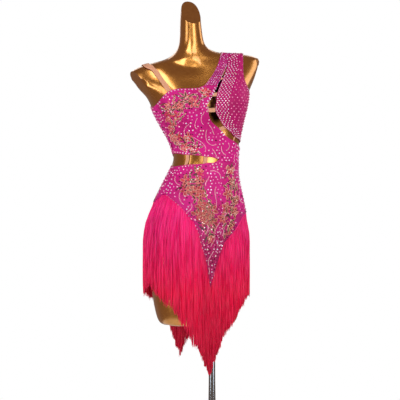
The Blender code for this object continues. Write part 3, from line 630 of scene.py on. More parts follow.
SPRAYS = (
    # turn, height, heading, length, bend_start, bend_end: degrees and millimetres; heading 0 runs
    # to the wearer's left and 90 up; the bends are in degrees over the whole length; then the
    # spray's half width at its start, middle and end
    (0, 1264, 205, 74, 10, 50, 4, 13, 22),
    (-32, 1240, 205, 44, 30, 40, 20, 26, 20),
    (-66, 1216, 340, 46, -40, 20, 8, 15, 14),
    (-39, 1204, 222, 60, 40, 60, 20, 17, 10),
    (-58, 1160, 262, 42, 40, 60, 9, 9, 14),
    (-69, 1118, 352, 98, -20, -40, 14, 22, 8),
    (-19, 1040, 262, 68, -50, 0, 5, 20, 30),
    (-47, 972, 10, 44, 20, -40, 6, 16, 20),
    (-24, 984, 290, 92, 30, -20, 22, 22, 14),
    (-12, 924, 285, 106, 10, -30, 28, 25, 9),
    (2, 922, 262, 50, -20, 30, 14, 18, 10),
    (48, 1044, 268, 62, -20, 30, 12, 20, 20),
    (56, 986, 235, 86, 10, 30, 18, 20, 18),
    (37, 914, 252, 92, 30, -10, 24, 22, 8),
    (150, 1300, 262, 84, 40, -60, 10, 20, 14),
    (136, 1226, 285, 80, -40, 50, 12, 20, 10),
    (166, 1160, 250, 74, 50, -40, 14, 22, 10),
    (-150, 1120, 280, 60, -50, 60, 8, 18, 12),
    (-138, 1024, 262, 80, 40, -50, 10, 20, 16),
    (-156, 950, 282, 78, -40, 60, 14, 20, 8),
    (146, 1020, 280, 84, -30, 50, 10, 20, 16),
    (162, 940, 290, 78, 30, -30, 14, 20, 8),
)
PATH_STEP = 1 * MM
FLOWER_SPACING = 27 * MM
LEAF_SPACING = 10.5 * MM
MIXED_SPACING = 10 * MM     # between a flower's middle and a leaf's
FLOWER_TRIES = 4.0          # for each flower or leaf that would fill a spray
LEAF_TRIES = 6.4
PETAL_SIZE = (14 * MM, 8.6 * MM, 1.0 * MM)      # length, width and rise
PETAL_START = 2.8 * MM      # from the flower's middle
FLOWER_SCALES = (0.72, 1.15)
PETAL_POINT = 0.25          # 0 is round and 1 is sharp
LEAF_SIZE = (18 * MM, 6.6 * MM, 0.9 * MM)
LEAF_POINT = 0.85
LEAF_SCALES = (0.65, 1.15)
LEAF_LEAN = 1.1             # radians to either side of the spray's own line
PETAL_STONES = ((13.0 * MM, 0.63), (8.0 * MM, 0.0), (19.0 * MM, 0.3))   # reach, turn from the petal
LEAF_STONES = (-0.12, 0.5, 1.1)     # shares of a leaf's length
OUTLINE_RADIUS = 0.9 * MM
OUTLINED = 0.7              # share of the petals and leaves that have an outline
OUTLINE_POINTS = 12
CLOTH_TESTS = ((0, 0), (1.1, -0.4), (1.2, 0), (1.1, 0.4))   # share of the length, and turn


def onward(arc, height, way, along, across=0.0):
    """The arc and height at a distance along a heading, and across it to its left."""
    return (arc + along * cos(way) - across * sin(way), height + along * sin(way) + across * cos(way))


def path_of(turn, height, heading, length, bend_start, bend_end):
    """Places (arc, height, heading) every millimetre along a curve on the body."""
    height, way = height * MM, radians(heading)
    arc = float(np.interp(radians(turn), COLUMN_TURNS, arcs[row_of(height)]))
    steps, path = round(length * MM / PATH_STEP), []
    for i in range(steps + 1):
        path.append((arc, height, way))
        way += radians(bend_start + (bend_end - bend_start) * i / steps) / steps
        arc, height = onward(arc, height, way, PATH_STEP)
    return path


# a petal or leaf is a low cushion, a ball that is pressed flat and drawn to a point at its tip
bpy.ops.object.select_all(action="DESELECT")
bpy.ops.mesh.primitive_uv_sphere_add(segments=OUTLINE_POINTS, ring_count=4, radius=1)
pad = bpy.context.object
pad_shape = points_of(pad)
pad_faces = [list(face.vertices) for face in pad.data.polygons]
bpy.data.objects.remove(pad)
ring_turns = np.linspace(0, 2 * pi, OUTLINE_POINTS, endpoint=False)
ring_shape = np.stack([np.cos(ring_turns), np.sin(ring_turns), np.full(OUTLINE_POINTS, 0.5)], 1)
embroidery = {"petals": ([], []), "leaves": ([], []), "outlines": ([], [])}
spray_spots = []            # places for small stones, on and between the flowers and leaves


def laid_on(arc, height, way, shape, half, point):
    """Points and normals of a shape on the body, its half size given and its far end pointed."""
    drawn = shape.copy()
    drawn[:, 1] *= 1 - point * (0.5 + 0.5 * shape[:, 0]) ** 2
    drawn[:, 0] += 1
    laid = []
    for along, across, up in drawn * half:
        place, normal, _ = on_body(*onward(arc, height, way, along, across))
        laid.append((place + normal * up, normal))
    return laid


def add_outline(points, faces, line):
    """A thin three-sided cord round a closed line of points."""
    first, count = len(points), len(line)
    for i, (point, normal) in enumerate(line):
        side = (line[(i + 1) % count][0] - line[i - 1][0]).cross(normal).normalized()
        for part in range(3):
            turn = 2 * pi * part / 3 + pi / 2
            points.append(point + (side * cos(turn) + normal * sin(turn)) * OUTLINE_RADIUS)
    for i in range(count):
        here, there = first + 3 * i, first + 3 * ((i + 1) % count)
        for part in range(3):
            on = (part + 1) % 3
            faces.append((here + part, there + part, there + on, here + on))


def embroider(kind, arc, height, way, size, point):
    """One petal or leaf, and mostly its outline, if it lies wholly on the magenta cloth."""
    for reach, side in CLOTH_TESTS:
        if not on_body(*onward(arc, height, way + side, reach * size[0]))[2].startswith("cloth_"):
            return
    points, faces = embroidery[kind]
    first = len(points)
    half = (size[0] / 2, size[1] / 2, size[2])
    points += [place for place, _ in laid_on(arc, height, way, pad_shape, half, point)]
    faces += [[first + corner for corner in face] for face in pad_faces]
    if chance.uniform() < OUTLINED:
        rim = (half[0], half[1], OUTLINE_RADIUS)
        add_outline(*embroidery["outlines"], laid_on(arc, height, way, ring_shape, rim, point))


def add_flower(arc, height):
    scale, spin = chance.uniform(*FLOWER_SCALES), chance.uniform(0, 2 * pi)
    size = [part * scale for part in PETAL_SIZE]
    for petal in range(5):
        turn = spin + petal * 2 * pi / 5
        embroider("petals", *onward(arc, height, turn, PETAL_START), turn, size, PETAL_POINT)
        for reach, side in PETAL_STONES:
            spray_spots.append(onward(arc, height, turn + side, reach * scale))
    spray_spots.append((arc, height))


def add_leaf(arc, height, way):
    scale = chance.uniform(*LEAF_SCALES)
    size = [part * scale for part in LEAF_SIZE]
    arc, height = onward(arc, height, way, -size[0] / 2)
    embroider("leaves", arc, height, way, size, LEAF_POINT)
    for reach in LEAF_STONES:
        spray_spots.append(onward(arc, height, way, reach * size[0]))


for *route, start_width, middle_width, end_width in SPRAYS:
    path = path_of(*route)
    widths = np.interp(np.linspace(0, 2, len(path)), (0, 1, 2), (start_width, middle_width, end_width)) * MM
    room = 2 * widths.sum() * PATH_STEP
    taken = []
    for spacing, tries, flower in ((FLOWER_SPACING, FLOWER_TRIES, True), (LEAF_SPACING, LEAF_TRIES, False)):
        for _ in range(int(tries * room / spacing**2) + 2):
            i = chance.integers(len(path))
            arc, height = onward(*path[i], 0, chance.uniform(-1, 1) * widths[i])
            if any(hypot(arc - other_arc, height - other_height)
                   < (spacing if flower == other_flower else MIXED_SPACING)
                   for other_arc, other_height, other_flower in taken):
                continue
            taken.append((arc, height, flower))
            if flower:
                add_flower(arc, height)
            else:
                lean = chance.uniform(-LEAF_LEAN, LEAF_LEAN)
                add_leaf(arc, height, path[i][2] + lean + pi * chance.integers(2))

# Embroidery thread: bright silky polyester laid in satin stitch, so it shines in bands across the
# stitches, and its colour is painted lighter along those bands, as painted shine.  Its colour is
# also in patches, and duller on the hips.
SATIN_STITCH = 0.9 * MM     # thread spacing; real threads are 0.3 mm and would not show
for kind, low_colour, high_colour, hip_colour, metal, rough in (
    ("petals", "#AA0A38", "#F6464E", "#840828", 0.0, 0.42),
    ("leaves", "#34081C", "#70321E", "#200812", 0.0, 0.45),
    ("outlines", "#E07862", "#FFEAD6", "#CE8C60", 0.1, 0.35),
):
    made = new_piece("spray_" + kind, embroidery[kind][0], embroidery[kind][1])
    shade(made, radians(60))
    silk, tree = new_finish("embroidery_thread_" + kind, Metallic=metal, Roughness=rough, Sheen_Weight=0.2)
    place_on = add_node(tree, "TexCoord").outputs["Object"]
    stitching = {"Vector": place_on, "Scale": pi / (10 * SATIN_STITCH), "Distortion": 2.0, "Detail": 1.0}
    rows = add_node(tree, "TexWave", stitching, bands_direction="DIAGONAL").outputs["Fac"]
    patches = add_node(tree, "TexNoise", {"Vector": place_on, "Scale": 1 / (8 * MM)})
    # painted shine: the colour is lighter along the stitch rows, broken into patches
    blend = add_node(tree, "Math", {0: rows, 1: patches}, operation="MULTIPLY")
    tone = add_node(tree, "MapRange", {"Value": blend, "From Min": 0.05, "From Max": 0.42})
    mixed = add_node(tree, "Mix", {"Factor": tone, "A": low_colour, "B": high_colour}, data_type="RGBA")
    level = add_node(tree, "SeparateXYZ", {"Vector": place_on}).outputs["Z"]
    lower = add_node(tree, "MapRange", {"Value": level, "From Min": 1.04, "From Max": 0.93, "To Max": 0.55})
    deeper = add_node(tree, "Mix", {"Factor": lower, "A": mixed, "B": hip_colour}, data_type="RGBA")
    bump = add_node(tree, "Bump", {"Height": rows, "Strength": 0.5, "Distance": 0.15 * MM})
    set_shader(tree, Base_Color=deeper, Normal=bump)
    made.data.materials.append(silk)

# -------------------------------- crystals
# Flat-backed cut glass, foiled behind and glued on by hand: pale, pink and garnet stones scattered
# over the cloth, pale ones in a lattice on the left shoulder and beside the open edges, lilac ones
# on the neck band, coloured ones in the sprays, and tiny ones in curling lines.

STONE_COLOURS = {
    "pale": ("#FFE6F2", "#FFD2E8", "#F4E6FF", "#FFE2DC"),
    "pink": ("#FF8CC8", "#FA78BC", "#FFA8D6", "#FFC6E2"),
    "rose": ("#F06AA6", "#E8508F", "#F58CBB"),
    "lilac": ("#D9B4EA", "#B98AD6", "#F0DDFA", "#8A5AA8"),
    "spray": ("#4A0A22", "#FFE6D2", "#3A0A16", "#F58A74", "#5A1020", "#FFF4EA", "#48200E", "#E8505A"),
    "garnet": ("#4A0626", "#5E0C34", "#3A140C"),
    "cream": ("#FFD0DC", "#FFBED2", "#FFE6E2", "#FFDCCE"),
}
CELL = 12 * MM
cells = {}                  # the stones' places, in a coarse grid
stones = []                 # place, normal, size, colour and owner of each stone
STONE_SCALES = (0.9, 1.08)
TRIANGULAR = 0.87           # height of a row of staggered stones, as a share of their spacing


def add_stone(place, size, family):
    point, normal, owner = place
    choices = STONE_COLOURS[family]
    colour = hex_colour(choices[chance.integers(len(choices))])
    stones.append((point, normal, size * chance.uniform(*STONE_SCALES), colour, owner))


def clear_of_stones(point, gap):
    """True if no stone lies nearer than the gap, and then the point is taken."""
    x, y, z = (int(c // CELL) for c in point)
    near = [(x + i, y + j, z + k) for i in (-1, 0, 1) for j in (-1, 0, 1) for k in (-1, 0, 1)]
    if any((other - point).length < gap for key in near for other in cells.get(key, ())):
        return False
    cells.setdefault((x, y, z), []).append(point)
    return True


def free_place(arc, height, names, margin, gap):
    """The place, if it and the places a margin away lie on the named panels, clear of stones."""
    place = on_body(arc, height)
    if place[2] not in names:
        return None
    for across, up in ((margin, 0), (-margin, 0), (0, margin), (0, -margin)):
        if on_body(arc + across, height + up)[2] not in names:
            return None
    return place if clear_of_stones(place[0], gap) else None


def rows_between(low, high, step, arc=None):
    """Numbers and heights of rows; at an arc, the step is measured up the surface itself there."""
    line = 0
    while low < high:
        yield line, low
        rise = 2 * MM
        if arc is not None:
            rise = (on_body(arc, low + 2 * MM)[0] - on_body(arc, low)[0]).length
        low += step * min(max(2 * MM / max(rise, 0.5 * MM), 0.5), 2.4)
        line += 1


# the shoulder panel: close rows that follow the cut, then wider ones towards the armhole
SHOULDER = {"cloth_shoulder_front"}
SHOULDER_LOW, DRESS_TOP = 1118 * MM, 1462 * MM
SHOULDER_ARCS = np.arange(-60 * MM, 190 * MM, 1.5 * MM)
CLOSE_PITCH = 10.2 * MM
CLOSE_WIDTH = 4 * CLOSE_PITCH       # four close rows beside the cut
for start, end, across, up, size, family in (
    (4 * MM, 4 * MM + CLOSE_WIDTH, CLOSE_PITCH, 6.2 * MM, 3.8 * MM, "pale"),
    (8 * MM + CLOSE_WIDTH, 170 * MM, 17 * MM, 9 * MM, 5 * MM, "rose"),
):
    for line, height in rows_between(SHOULDER_LOW, DRESS_TOP, up, 60 * MM):
        first = next((arc for arc in SHOULDER_ARCS if on_body(arc, height)[2] in SHOULDER), None)
        offset = start + (line % 2) * across / 2
        while first is not None and offset < end:
            place = free_place(first + offset, height, SHOULDER, 2.4 * MM, 3.6 * MM)
            if place:
                add_stone(place, size, family)
            offset += across

# the neck band: staggered rows of lilac stones across it
BAND = {"cloth_neck_band"}
BAND_LOW = 1276 * MM
BAND_PITCH = 7.4 * MM
for line, height in rows_between(BAND_LOW, DRESS_TOP, 5 * MM, 15 * MM):
    for arc in np.arange(-80 * MM, 110 * MM, BAND_PITCH):
        place = free_place(arc + (line % 2) * BAND_PITCH / 2, height, BAND, 1.8 * MM, 4.4 * MM)
        if place:
            add_stone(place, 3.3 * MM, "lilac")

# curling lines of tiny stones
SWIRLS = (
    # turn, height, heading, length, bend_start, bend_end
    (-9, 1200, 232, 40, 60, 130),
    (-19, 1181, 248, 34, 0, 190),
    (-32, 1164, 205, 42, 120, 110),
    (-30, 1234, 250, 36, -160, 220),
    (-26, 1127, 325, 60, 60, -210),
    (-2, 1148, 262, 66, 30, 230),
    (3, 1162, 320, 32, -60, 20),
    (30, 1100, 255, 32, 120, 40),
    (42, 1112, 320, 28, -150, -90),
    (57, 1078, 250, 34, 120, -60),
    (13, 1092, 330, 30, -120, 90),
    (8, 1028, 12, 46, -60, -170),
    (-45, 972, 228, 50, 90, 110),
    (4, 1012, 262, 30, -120, 160),
    (16, 980, 235, 72, 200, -260),
    (-28, 930, 300, 34, -200, 40),
    (-20, 902, 325, 78, 20, -250),
    (31, 904, 215, 74, 200, -170),
    (18, 878, 255, 40, -120, 200),
    (40, 972, 262, 40, 150, 60),
    (60, 960, 240, 46, 160, 120),
    (8, 836, 300, 34, -200, 120),
    (6, 790, 240, 46, -40, 160),
    (-1, 742, 300, 26, -90, -60),
    (-62, 1012, 250, 34, 120, 60),
    (160, 1240, 285, 60, 180, -240),
    (-170, 1180, 262, 56, -200, 260),
    (128, 1160, 250, 46, 160, 80),
    (-130, 1180, 285, 48, -160, -60),
    (176, 1100, 300, 44, 120, -240),
    (-160, 1040, 240, 50, 130, 110),
    (176, 1000, 285, 60, 180, -250),
    (132, 980, 240, 44, 120, 90),
    (-130, 930, 285, 46, -130, -60),
    (160, 880, 285, 44, 150, -220),
    (-166, 850, 262, 42, -150, 220),
)
SWIRL_PITCH = 3 * MM
SWIRL_SIZE = 2.5 * MM
MAGENTA_PANELS = {"cloth_" + panel for panel in PANELS}
for swirl in SWIRLS:
    for arc, height, _ in path_of(*swirl)[::round(SWIRL_PITCH / PATH_STEP)]:
        place = free_place(arc, height, MAGENTA_PANELS, 2 * MM, 2.4 * MM)
        if place:
            add_stone(place, SWIRL_SIZE, "cream")

# small stones on and between the flowers and leaves of the sprays, many of them dark on the hips
SPRAY_STONES = (3.2, 4.8)
DARK_BELOW = 1000 * MM
DARK_SHARE = 0.45
for arc, height in spray_spots:
    place = free_place(arc, height, MAGENTA_PANELS, 2 * MM, 4.4 * MM)
    if place:
        dark = height < DARK_BELOW and chance.uniform() < DARK_SHARE
        add_stone(place, chance.uniform(*SPRAY_STONES) * MM, "garnet" if dark else "spray")

# pale stones beside the open edges
for panel, inset, pitch, size in (
    ("bodice_front", 3.6 * MM, 10.5 * MM, 4.6 * MM),
    ("neck_band", 2.2 * MM, 5.0 * MM, 2.6 * MM),
    ("shoulder_front", 2.6 * MM, 5.4 * MM, 3.0 * MM),
    ("hip_front", 3.8 * MM, 9.5 * MM, 4.0 * MM),
    ("bodice_back", 3.8 * MM, 10 * MM, 4.2 * MM),
    ("hip_back", 3.8 * MM, 10 * MM, 4.2 * MM),
):
    for point, normal, _ in open_edge_places(panel, inset, pitch):
        if clear_of_stones(point, 3.0 * MM):
            add_stone((point, normal, "cloth_" + panel), size, "pale")

# pale, pink and some dark stones scattered over the rest
SCATTERED = MAGENTA_PANELS - SHOULDER - BAND
SCATTER_SPACING = 11.2 * MM
SCATTER_DRIFT = 1.7 * MM
HIPS_BELOW = 960 * MM
DARK_SHARES = (0.06, 0.3)   # above that height and below it
for line, height in rows_between(690 * MM, 1440 * MM, SCATTER_SPACING * TRIANGULAR):
    row = arcs[row_of(height)]
    for arc in np.arange(row[0], row[-1], SCATTER_SPACING):
        here = arc + (line % 2) * SCATTER_SPACING / 2 + chance.normal(0, SCATTER_DRIFT)
        place = free_place(here, height + chance.normal(0, SCATTER_DRIFT), SCATTERED, 4 * MM, 7 * MM)
        if place:
            dark = chance.uniform() < DARK_SHARES[height < HIPS_BELOW]
            family = "garnet" if dark else "pale" if chance.uniform() < 0.5 else "pink"
            add_stone(place, 4.8 * MM, family)

# the point of the V is set closer, with small dark and pale stones by turns
V_SPACING = 6.4 * MM
V_DRIFT = 1 * MM
V_FAMILIES = ("garnet", "rose", "garnet", "pale")
for line, height in rows_between(676 * MM, 930 * MM, V_SPACING * TRIANGULAR, 0):
    for arc in np.arange(-60 * MM, 60 * MM, V_SPACING):
        here = arc + (line % 2) * V_SPACING / 2 + chance.normal(0, V_DRIFT)
        place = free_place(here, height + chance.normal(0, V_DRIFT), {"cloth_hip_front"}, 2.4 * MM, 4.6 * MM)
        if place:
            add_stone(place, 3.2 * MM, V_FAMILIES[chance.integers(4)])

# one cut stone: a flat table, a crown of eight facets, a thin girdle and a flat foiled back
bpy.ops.object.select_all(action="DESELECT")
bpy.ops.mesh.primitive_cone_add(vertices=8, radius1=0.5, radius2=0.27, depth=0.3, location=(0, 0, 0.21))
bpy.ops.object.transform_apply(location=True)
cut_stone = bpy.context.object
edit_points(cut_stone, lambda point: point.z < 0.1)
bpy.ops.mesh.extrude_region_move(TRANSFORM_OT_translate={"value": (0, 0, -0.06)})
bpy.ops.object.mode_set(mode="OBJECT")

# Foiled glass: the foil mirrors a little under the clear, hard, polished facets.
glass, tree = new_finish(
    "foiled_flat_back_crystal", Metallic=0.2, Roughness=0.08, Coat_Weight=1.0, Coat_Roughness=0.02)
set_shader(tree, Base_Color=add_node(tree, "VertexColor", layer_name="stone_colour"))
SET_WAY = Vector((0.3, 0.2, 1))     # the way that each stone's first corner is turned from
GLUE_SINK = 0.08 * MM
for region, names in (
    ("bodice", {"cloth_bodice_front", "cloth_bodice_back"}),
    ("shoulder", SHOULDER | BAND),
    ("hips", {"cloth_hip_front", "cloth_hip_back"}),
):
    chosen = [stone for stone in stones if stone[4] in names]
    crystals = spread_copies(
        "crystals_" + region, cut_stone, [(point, normal, SET_WAY) for point, normal, *_ in chosen],
        [[size] * 3 for _, _, size, *_ in chosen], chance.uniform(0, pi, len(chosen)), GLUE_SINK)
    layer = crystals.data.color_attributes.new("stone_colour", "FLOAT_COLOR", "POINT")
    corners = len(cut_stone.data.vertices)
    layer.data.foreach_set("color", np.repeat([stone[3] for stone in chosen], corners, axis=0).ravel())
    crystals.data.materials.append(glass)
bpy.data.objects.remove(cut_stone)

# -------------------------------- fringe
# Long chainette fringe of shiny viscose yarn.  Its strands are chained into a narrow heading that is
# sewn along the V hem, and they fall over the hips and then straight down, in four ragged layers.

HEADING_DROP = 5.4 * MM
HEADING_WALL = 1.5 * MM
HEADING_START = 0.4 * MM    # under the hem
HEADING_SINK = 1.2 * MM     # behind the face of the cloth
HEADING_TONE = 0.45
LONGEST_DROP = 22 * MM      # of the heading, where the hem is steep
HEM_PLACES = 160
HEM_LIMITS = (640 * MM, 975 * MM)
HALVINGS = 13
UNDERSIDE = -0.98           # a face whose normal's Z is lower than this looks down
STRAND_RADIUS = 0.75 * MM
STRAND_RINGS = 11
STRAND_TWIST = 0.5          # radians from one ring to the next
TIP_SHARE = 0.6             # of the strand's radius
ROOT_DROP = 0.8 * MM        # a strand starts this far under the hem, or up to 2.5 mm lower
ROOT_RAGGED = 2.5
END_RAGGED = 4              # millimetres by which the ends are uneven
LIFT_RAGGED = 0.35          # millimetres by which the layers are uneven
LAYERS = 4
CLOTH_CLEARANCE = 0.5 * MM
FIRST_LIFT = 1.6 * MM
LAYER_LIFT = 1.3 * MM
FREE_FALL = 60 * MM         # below the hem, where a strand has come free of the heading
ROOT_PITCH = 1.55 * MM      # along the hem
CLUMP_WIDTH = 13 * MM
CLUMP_DRAW = 0.35
WAVE = 0.9 * MM
SHORTEST_FALL = 100 * MM
FRINGE_SIDE = radians(89.8)

reach_table = np.hypot(surface[..., 0] - CORE_X, surface[..., 1])


def hem_height(turn):
    """Height of the hip panels' lower edge at a turn, found by halving."""
    low, high = HEM_LIMITS
    for _ in range(HALVINGS):
        middle = (low + high) / 2
        if meet(turn, middle)[2].startswith("cloth_hip"):
            high = middle
        else:
            low = middle
    return high


def fringe_end(node):
    """Function that gives the height of the fringe's end at a turn, from its solid's undersides."""
    ends, backwards = [], "back" in node.name
    for face in node.data.polygons:
        turn, height = (float(value[0]) for value in turn_and_height(np.array([face.center])))
        if face.normal.z < UNDERSIDE and hem_height(turn) - height > SHORTEST_FALL:
            ends.append((turn + 2 * pi if backwards and turn < 0 else turn, height))
    turns, heights = np.array(sorted(ends)).T
    heights = np.convolve(np.pad(heights, 1, mode="edge"), (0.25, 0.5, 0.25), mode="valid")
    return lambda turn: float(np.interp(turn, turns, heights))


def hanging_reach(turn, root, heights):
    """Distance from the core at each height of a strand that lies on the body and then falls."""
    column = (turn + pi) % (2 * pi) / COLUMN_STEP
    low = min(int(column), len(COLUMN_TURNS) - 2)
    profile = reach_table[:, low] * (1 - column + low) + reach_table[:, low + 1] * (column - low)
    rows = np.arange(row_of(root), -1, -1)
    return np.interp(-heights, -ROW_HEIGHTS[rows], np.maximum.accumulate(profile[rows]))


def round_core(turn, distance, height, across=0.0):
    """The point at a turn and a distance from the core, and to the side of it."""
    return (CORE_X + distance * sin(turn) + across * cos(turn),
            -distance * cos(turn) + across * sin(turn), height)


def add_tube(points, faces, rings, sides):
    """Close the last rings of points, each of so many sides, into a tube with two flat ends."""
    first = len(points) - rings * sides
    for ring in range(first, len(points) - sides, sides):
        for part in range(sides):
            on = (part + 1) % sides
            faces.append((ring + part, ring + sides + part, ring + sides + on, ring + on))
    last = len(points) - sides
    faces += [tuple(range(first, first + sides)), tuple(range(len(points) - 1, last - 1, -1))]


def fringe(node_name, start_turn, end_turn):
    """The heading and all strands of one strip, from the side of the hips to the point of the V."""
    end_height = fringe_end(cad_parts[node_name])
    turns = np.linspace(start_turn, end_turn, HEM_PLACES)
    hem = np.array([hem_height(turn) for turn in turns])
    reach = np.array([hanging_reach(turn, height, np.array([height]))[0] for turn, height in zip(turns, hem)])
    line = np.stack([CORE_X + reach * np.sin(turns), -reach * np.cos(turns), hem], 1)
    along = np.concatenate([[0], np.cumsum(np.linalg.norm(np.diff(line, axis=0), axis=1))])
    turning = np.gradient(turns, along)
    drops = HEADING_DROP / np.sqrt(np.maximum(1 - np.gradient(hem, along) ** 2, 0.06))
    points, faces, tones = [], [], []
    for turn, height, drop, distance in zip(turns, hem, np.minimum(drops, LONGEST_DROP), reach):
        back, top, low = distance - HEADING_SINK, height - HEADING_START, height - drop
        points += [round_core(turn, back, top), round_core(turn, back + HEADING_WALL, top),
                   round_core(turn, back + HEADING_WALL, low), round_core(turn, back, low)]
    tones += [HEADING_TONE] * len(points)
    add_tube(points, faces, HEM_PLACES, 4)
    side = copysign(1, end_turn - start_turn)
    for layer in range(LAYERS):
        for root_along in np.arange(ROOT_PITCH * (0.3 + 0.25 * layer), along[-1], ROOT_PITCH):
            here = root_along + chance.normal(0, 0.3 * MM)
            turn = float(np.interp(here, along, turns))
            root = float(np.interp(here, along, hem)) - ROOT_DROP - chance.uniform(0, ROOT_RAGGED) * MM
            bottom = end_height(turn) + chance.normal(0, END_RAGGED) * MM
            share = np.linspace(0, 1, STRAND_RINGS) ** 0.9
            heights = root + (bottom - root) * share
            fall = np.minimum((root - heights) / FREE_FALL, 1)
            distance = hanging_reach(turn, root, heights) + CLOTH_CLEARANCE
            distance += fall * (FIRST_LIFT + layer * LAYER_LIFT + chance.normal(0, LIFT_RAGGED) * MM)
            clump = (floor(here / CLUMP_WIDTH) + 0.5) * CLUMP_WIDTH - here
            steep = abs(float(np.interp(here, along, turning))) * distance[-1]
            drift = clump * CLUMP_DRAW * steep * share**2
            drift += WAVE * np.sin(share * chance.uniform(5, 11) + chance.uniform(0, 6)) * fall
            ring_turns = turn + side * drift / distance
            twist = chance.uniform(0, 2 * pi)
            for ring in range(STRAND_RINGS):
                radius = STRAND_RADIUS * (TIP_SHARE if ring == STRAND_RINGS - 1 else 1)
                for part in range(3):
                    angle = twist + ring * STRAND_TWIST + 2 * pi * part / 3
                    points.append(round_core(ring_turns[ring], distance[ring] + radius * cos(angle),
                                             heights[ring], radius * sin(angle)))
            tones += [chance.uniform()] * (3 * STRAND_RINGS)
            add_tube(points, faces, STRAND_RINGS, 3)
    piece = new_piece("yarn_" + node_name, points, faces)
    tone_layer = piece.data.attributes.new("strand_tone", "FLOAT", "POINT")
    tone_layer.data.foreach_set("value", tones)
    select_only(piece)
    bpy.ops.object.mode_set(mode="EDIT")
    bpy.ops.mesh.select_all(action="SELECT")
    bpy.ops.mesh.normals_make_consistent(inside=False)
    bpy.ops.object.mode_set(mode="OBJECT")
    shade(piece, radians(75))
    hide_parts(node_name)
    return piece


front_point = min(np.radians(np.arange(-12, 13, 0.5)), key=hem_height)
back_point = min(np.radians(np.arange(160, 200, 0.5)), key=hem_height)
fringes = {
    name: fringe("fringe_" + name, start_turn, end_turn)
    for name, start_turn, end_turn in (
        ("front_right", -FRINGE_SIDE, front_point),
        ("front_left", FRINGE_SIDE, front_point),
        ("back_left", pi - FRINGE_SIDE, back_point),
        ("back_right", pi + FRINGE_SIDE, back_point),
    )
}

# Viscose yarn: bright, silky and slightly translucent.  Its colour is painted pinker and lighter high
# up, where it is spread over the hips, and darker and redder low down, where the layers hang thick,
# as painted light and shade.
yarn, tree = new_finish(
    "shiny_viscose_fringe_yarn", Roughness=0.4, Specular_IOR_Level=0.28, Sheen_Weight=0.08,
    Sheen_Roughness=0.4, Sheen_Tint="#FF9FB8")
place_on = add_node(tree, "TexCoord").outputs["Object"]
# painted light and shade: the yarn's colour runs from pink at the top to dark red at the bottom
level = add_node(tree, "SeparateXYZ", {"Vector": place_on}).outputs["Z"]
fall = add_node(tree, "MapRange", {"Value": level, "From Min": 0.44, "From Max": 0.90})
depth = add_node(tree, "ValToRGB", {"Fac": fall})
depth.color_ramp.elements.new(0.5)
for stop, code in zip(depth.color_ramp.elements, ("#D60E38", "#F81652", "#FF1E86")):
    stop.color = hex_colour(code)
strand = add_node(tree, "Attribute", attribute_name="strand_tone").outputs["Fac"]
shadow = add_node(tree, "MapRange", {"Value": strand, "To Min": 0.78, "To Max": 1.1})
tone = add_node(
    tree, "Mix", {"Factor": 1.0, "A": depth, "B": shadow}, data_type="RGBA", blend_type="MULTIPLY")
ply = add_node(
    tree, "TexWave", {"Vector": place_on, "Scale": 1 / (6 * MM), "Distortion": 1.5}, bands_direction="Z")
bump = add_node(tree, "Bump", {"Height": ply.outputs["Fac"], "Strength": 0.3, "Distance": 0.15 * MM})
set_shader(tree, Base_Color=tone, Normal=bump)
for made in fringes.values():
    made.data.materials.append(yarn)

# -------------------------------- the cut of each sheet
# Flat sizes of the panels as they were cut from flat cloth, before they were stretched over the
# form, with the elastics or the fringe that is sewn to each.

for panel, width, length, area, with_pieces in (
    ("bodice_front", 0.285, 0.225, 0.0420, [bands["waist_bridge_1"], bands["waist_bridge_2"]]),
    ("neck_band", 0.028, 0.190, 0.0043, []),
    ("shoulder_front", 0.190, 0.300, 0.0330, [bands[name] for name in CUT_BRIDGES]),
    ("bodice_back", 0.320, 0.370, 0.0800, []),
    ("hip_front", 0.340, 0.370, 0.0585, [fringes["front_right"], fringes["front_left"]]),
    ("hip_back", 0.350, 0.320, 0.0650, [fringes["back_right"], fringes["back_left"]]),
):
    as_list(with_pieces)

# -------------------------------- studio
# A pale floor, an even white surround, and large soft boxes from the front, the side and above.
# Smaller boxes stand nearer and only show in the gloss, as the long highlights on the gold.

bpy.ops.object.select_all(action="DESELECT")
bpy.ops.mesh.primitive_circle_add(vertices=128, radius=1.1, fill_type="NGON", location=(0, 0, -0.2 * MM))
floor_sheet = bpy.context.object
floor_sheet.name = "studio_floor"
paper, _ = new_finish("pale_studio_floor", Roughness=0.6, Base_Color="#EDEBE8")
floor_sheet.data.materials.append(paper)

world = bpy.data.worlds.new("studio")
bpy.context.scene.world = world
world.use_nodes = True
tree = world.node_tree
rays = add_node(tree, "LightPath").outputs
tints = {"Factor": rays["Is Glossy Ray"], "A": "#FFFFFF", "B": "#FFD8C0"}
warm = add_node(tree, "Mix", tints, data_type="RGBA")
room = add_node(tree, "MapRange", {"Value": rays["Is Glossy Ray"], "To Min": 0.44, "To Max": 0.25})
strength = add_node(tree, "MapRange", {"Value": rays["Is Camera Ray"], "To Min": room, "To Max": 1.0})
set_sockets(tree, tree.nodes["Background"], {"Color": warm, "Strength": strength})


def stand(name, data, place, turned):
    """Stand a lamp or the camera at its place."""
    holder = bpy.data.objects.new(name, data)
    bpy.context.collection.objects.link(holder)
    holder.location, holder.rotation_euler = place, turned
    return holder


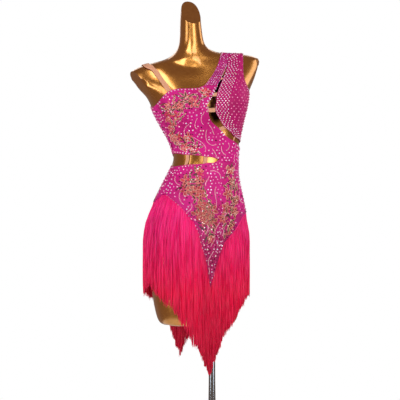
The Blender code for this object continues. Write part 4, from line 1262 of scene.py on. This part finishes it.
KEY_TINT = (0.97, 0.9, 1.0)
DRESS_MIDDLE = (-0.05, 0, 1.1)
CHEST = (-0.05, 0, 1.4)
for name, place, aim, size, power in (
    ("key", (-1.9, -1.35, 1.7), DRESS_MIDDLE, (1.3, 2.6), 31),
    ("fill", (0.95, -2.15, 1.5), DRESS_MIDDLE, (1.0, 2.2), 22),
    ("rim_left", (-1.4, 1.6, 1.3), DRESS_MIDDLE, (0.5, 1.7), 8),
    ("rim_right", (2.0, 0.1, 1.6), DRESS_MIDDLE, (0.9, 1.8), 14),
    ("gloss_left", (-2.12, -1.20, 1.61), CHEST, (1.02, 1.29), 8.2),
    ("gloss_left_above", (-0.74, -1.89, 2.71), CHEST, (0.76, 1.47), 14.0),
    ("gloss_right", (0.57, -2.31, 1.65), CHEST, (0.50, 1.38), 7.2),
    ("gloss_right_above", (0.36, -1.95, 2.74), CHEST, (0.42, 1.11), 5.0),
    ("gloss_low", (-0.05, -2.29, 1.29), (-0.05, 0, 1.05), (1.06, 0.73), 3.6),
    ("gloss_side", (2.20, -0.07, 1.99), (0.1, 0, 1.35), (1.10, 1.02), 5.3),
    ("gloss_left_foot", (-2.07, -0.75, 0.50), (0, 0, 0.5), (0.38, 0.94), 4.1),
    ("gloss_right_foot", (1.26, -1.80, 0.50), (0, 0, 0.5), (0.38, 0.94), 4.1),
    ("gloss_back_left", (1.18, 1.57, 2.13), (-0.05, 0, 1.2), (0.46, 1.60), 3.0),
    ("gloss_back_right", (-0.12, 1.99, 2.13), (-0.05, 0, 1.2), (0.46, 1.60), 3.0),
):
    lamp = bpy.data.lights.new(name, "AREA")
    lamp.shape = "RECTANGLE"
    lamp.size, lamp.size_y = size
    lamp.energy = power
    if name == "key":
        lamp.color = KEY_TINT
    facing = (Vector(aim) - Vector(place)).to_track_quat("-Z", "Y").to_euler()
    holder = stand(name, lamp, place, facing)
    holder.visible_glossy = name.startswith("gloss")
    holder.visible_diffuse = not holder.visible_glossy

CAMERA_TURN = radians(-18)
CAMERA_DISTANCE = 3.3
CAMERA_HEIGHT = 0.942
CAMERA_AIM = (-0.0348, 0.0113)
VIEW_WIDTH = 1.22           # metres that the frame shows at the dress
camera = bpy.data.cameras.new("camera")
camera.sensor_width = 36
camera.lens = camera.sensor_width * CAMERA_DISTANCE / VIEW_WIDTH
camera_place = (CAMERA_AIM[0] + CAMERA_DISTANCE * sin(CAMERA_TURN),
                CAMERA_AIM[1] - CAMERA_DISTANCE * cos(CAMERA_TURN), CAMERA_HEIGHT)
bpy.context.scene.camera = stand("camera", camera, camera_place, (pi / 2, 0, CAMERA_TURN))
bpy.context.scene.view_settings.view_transform = "Standard"
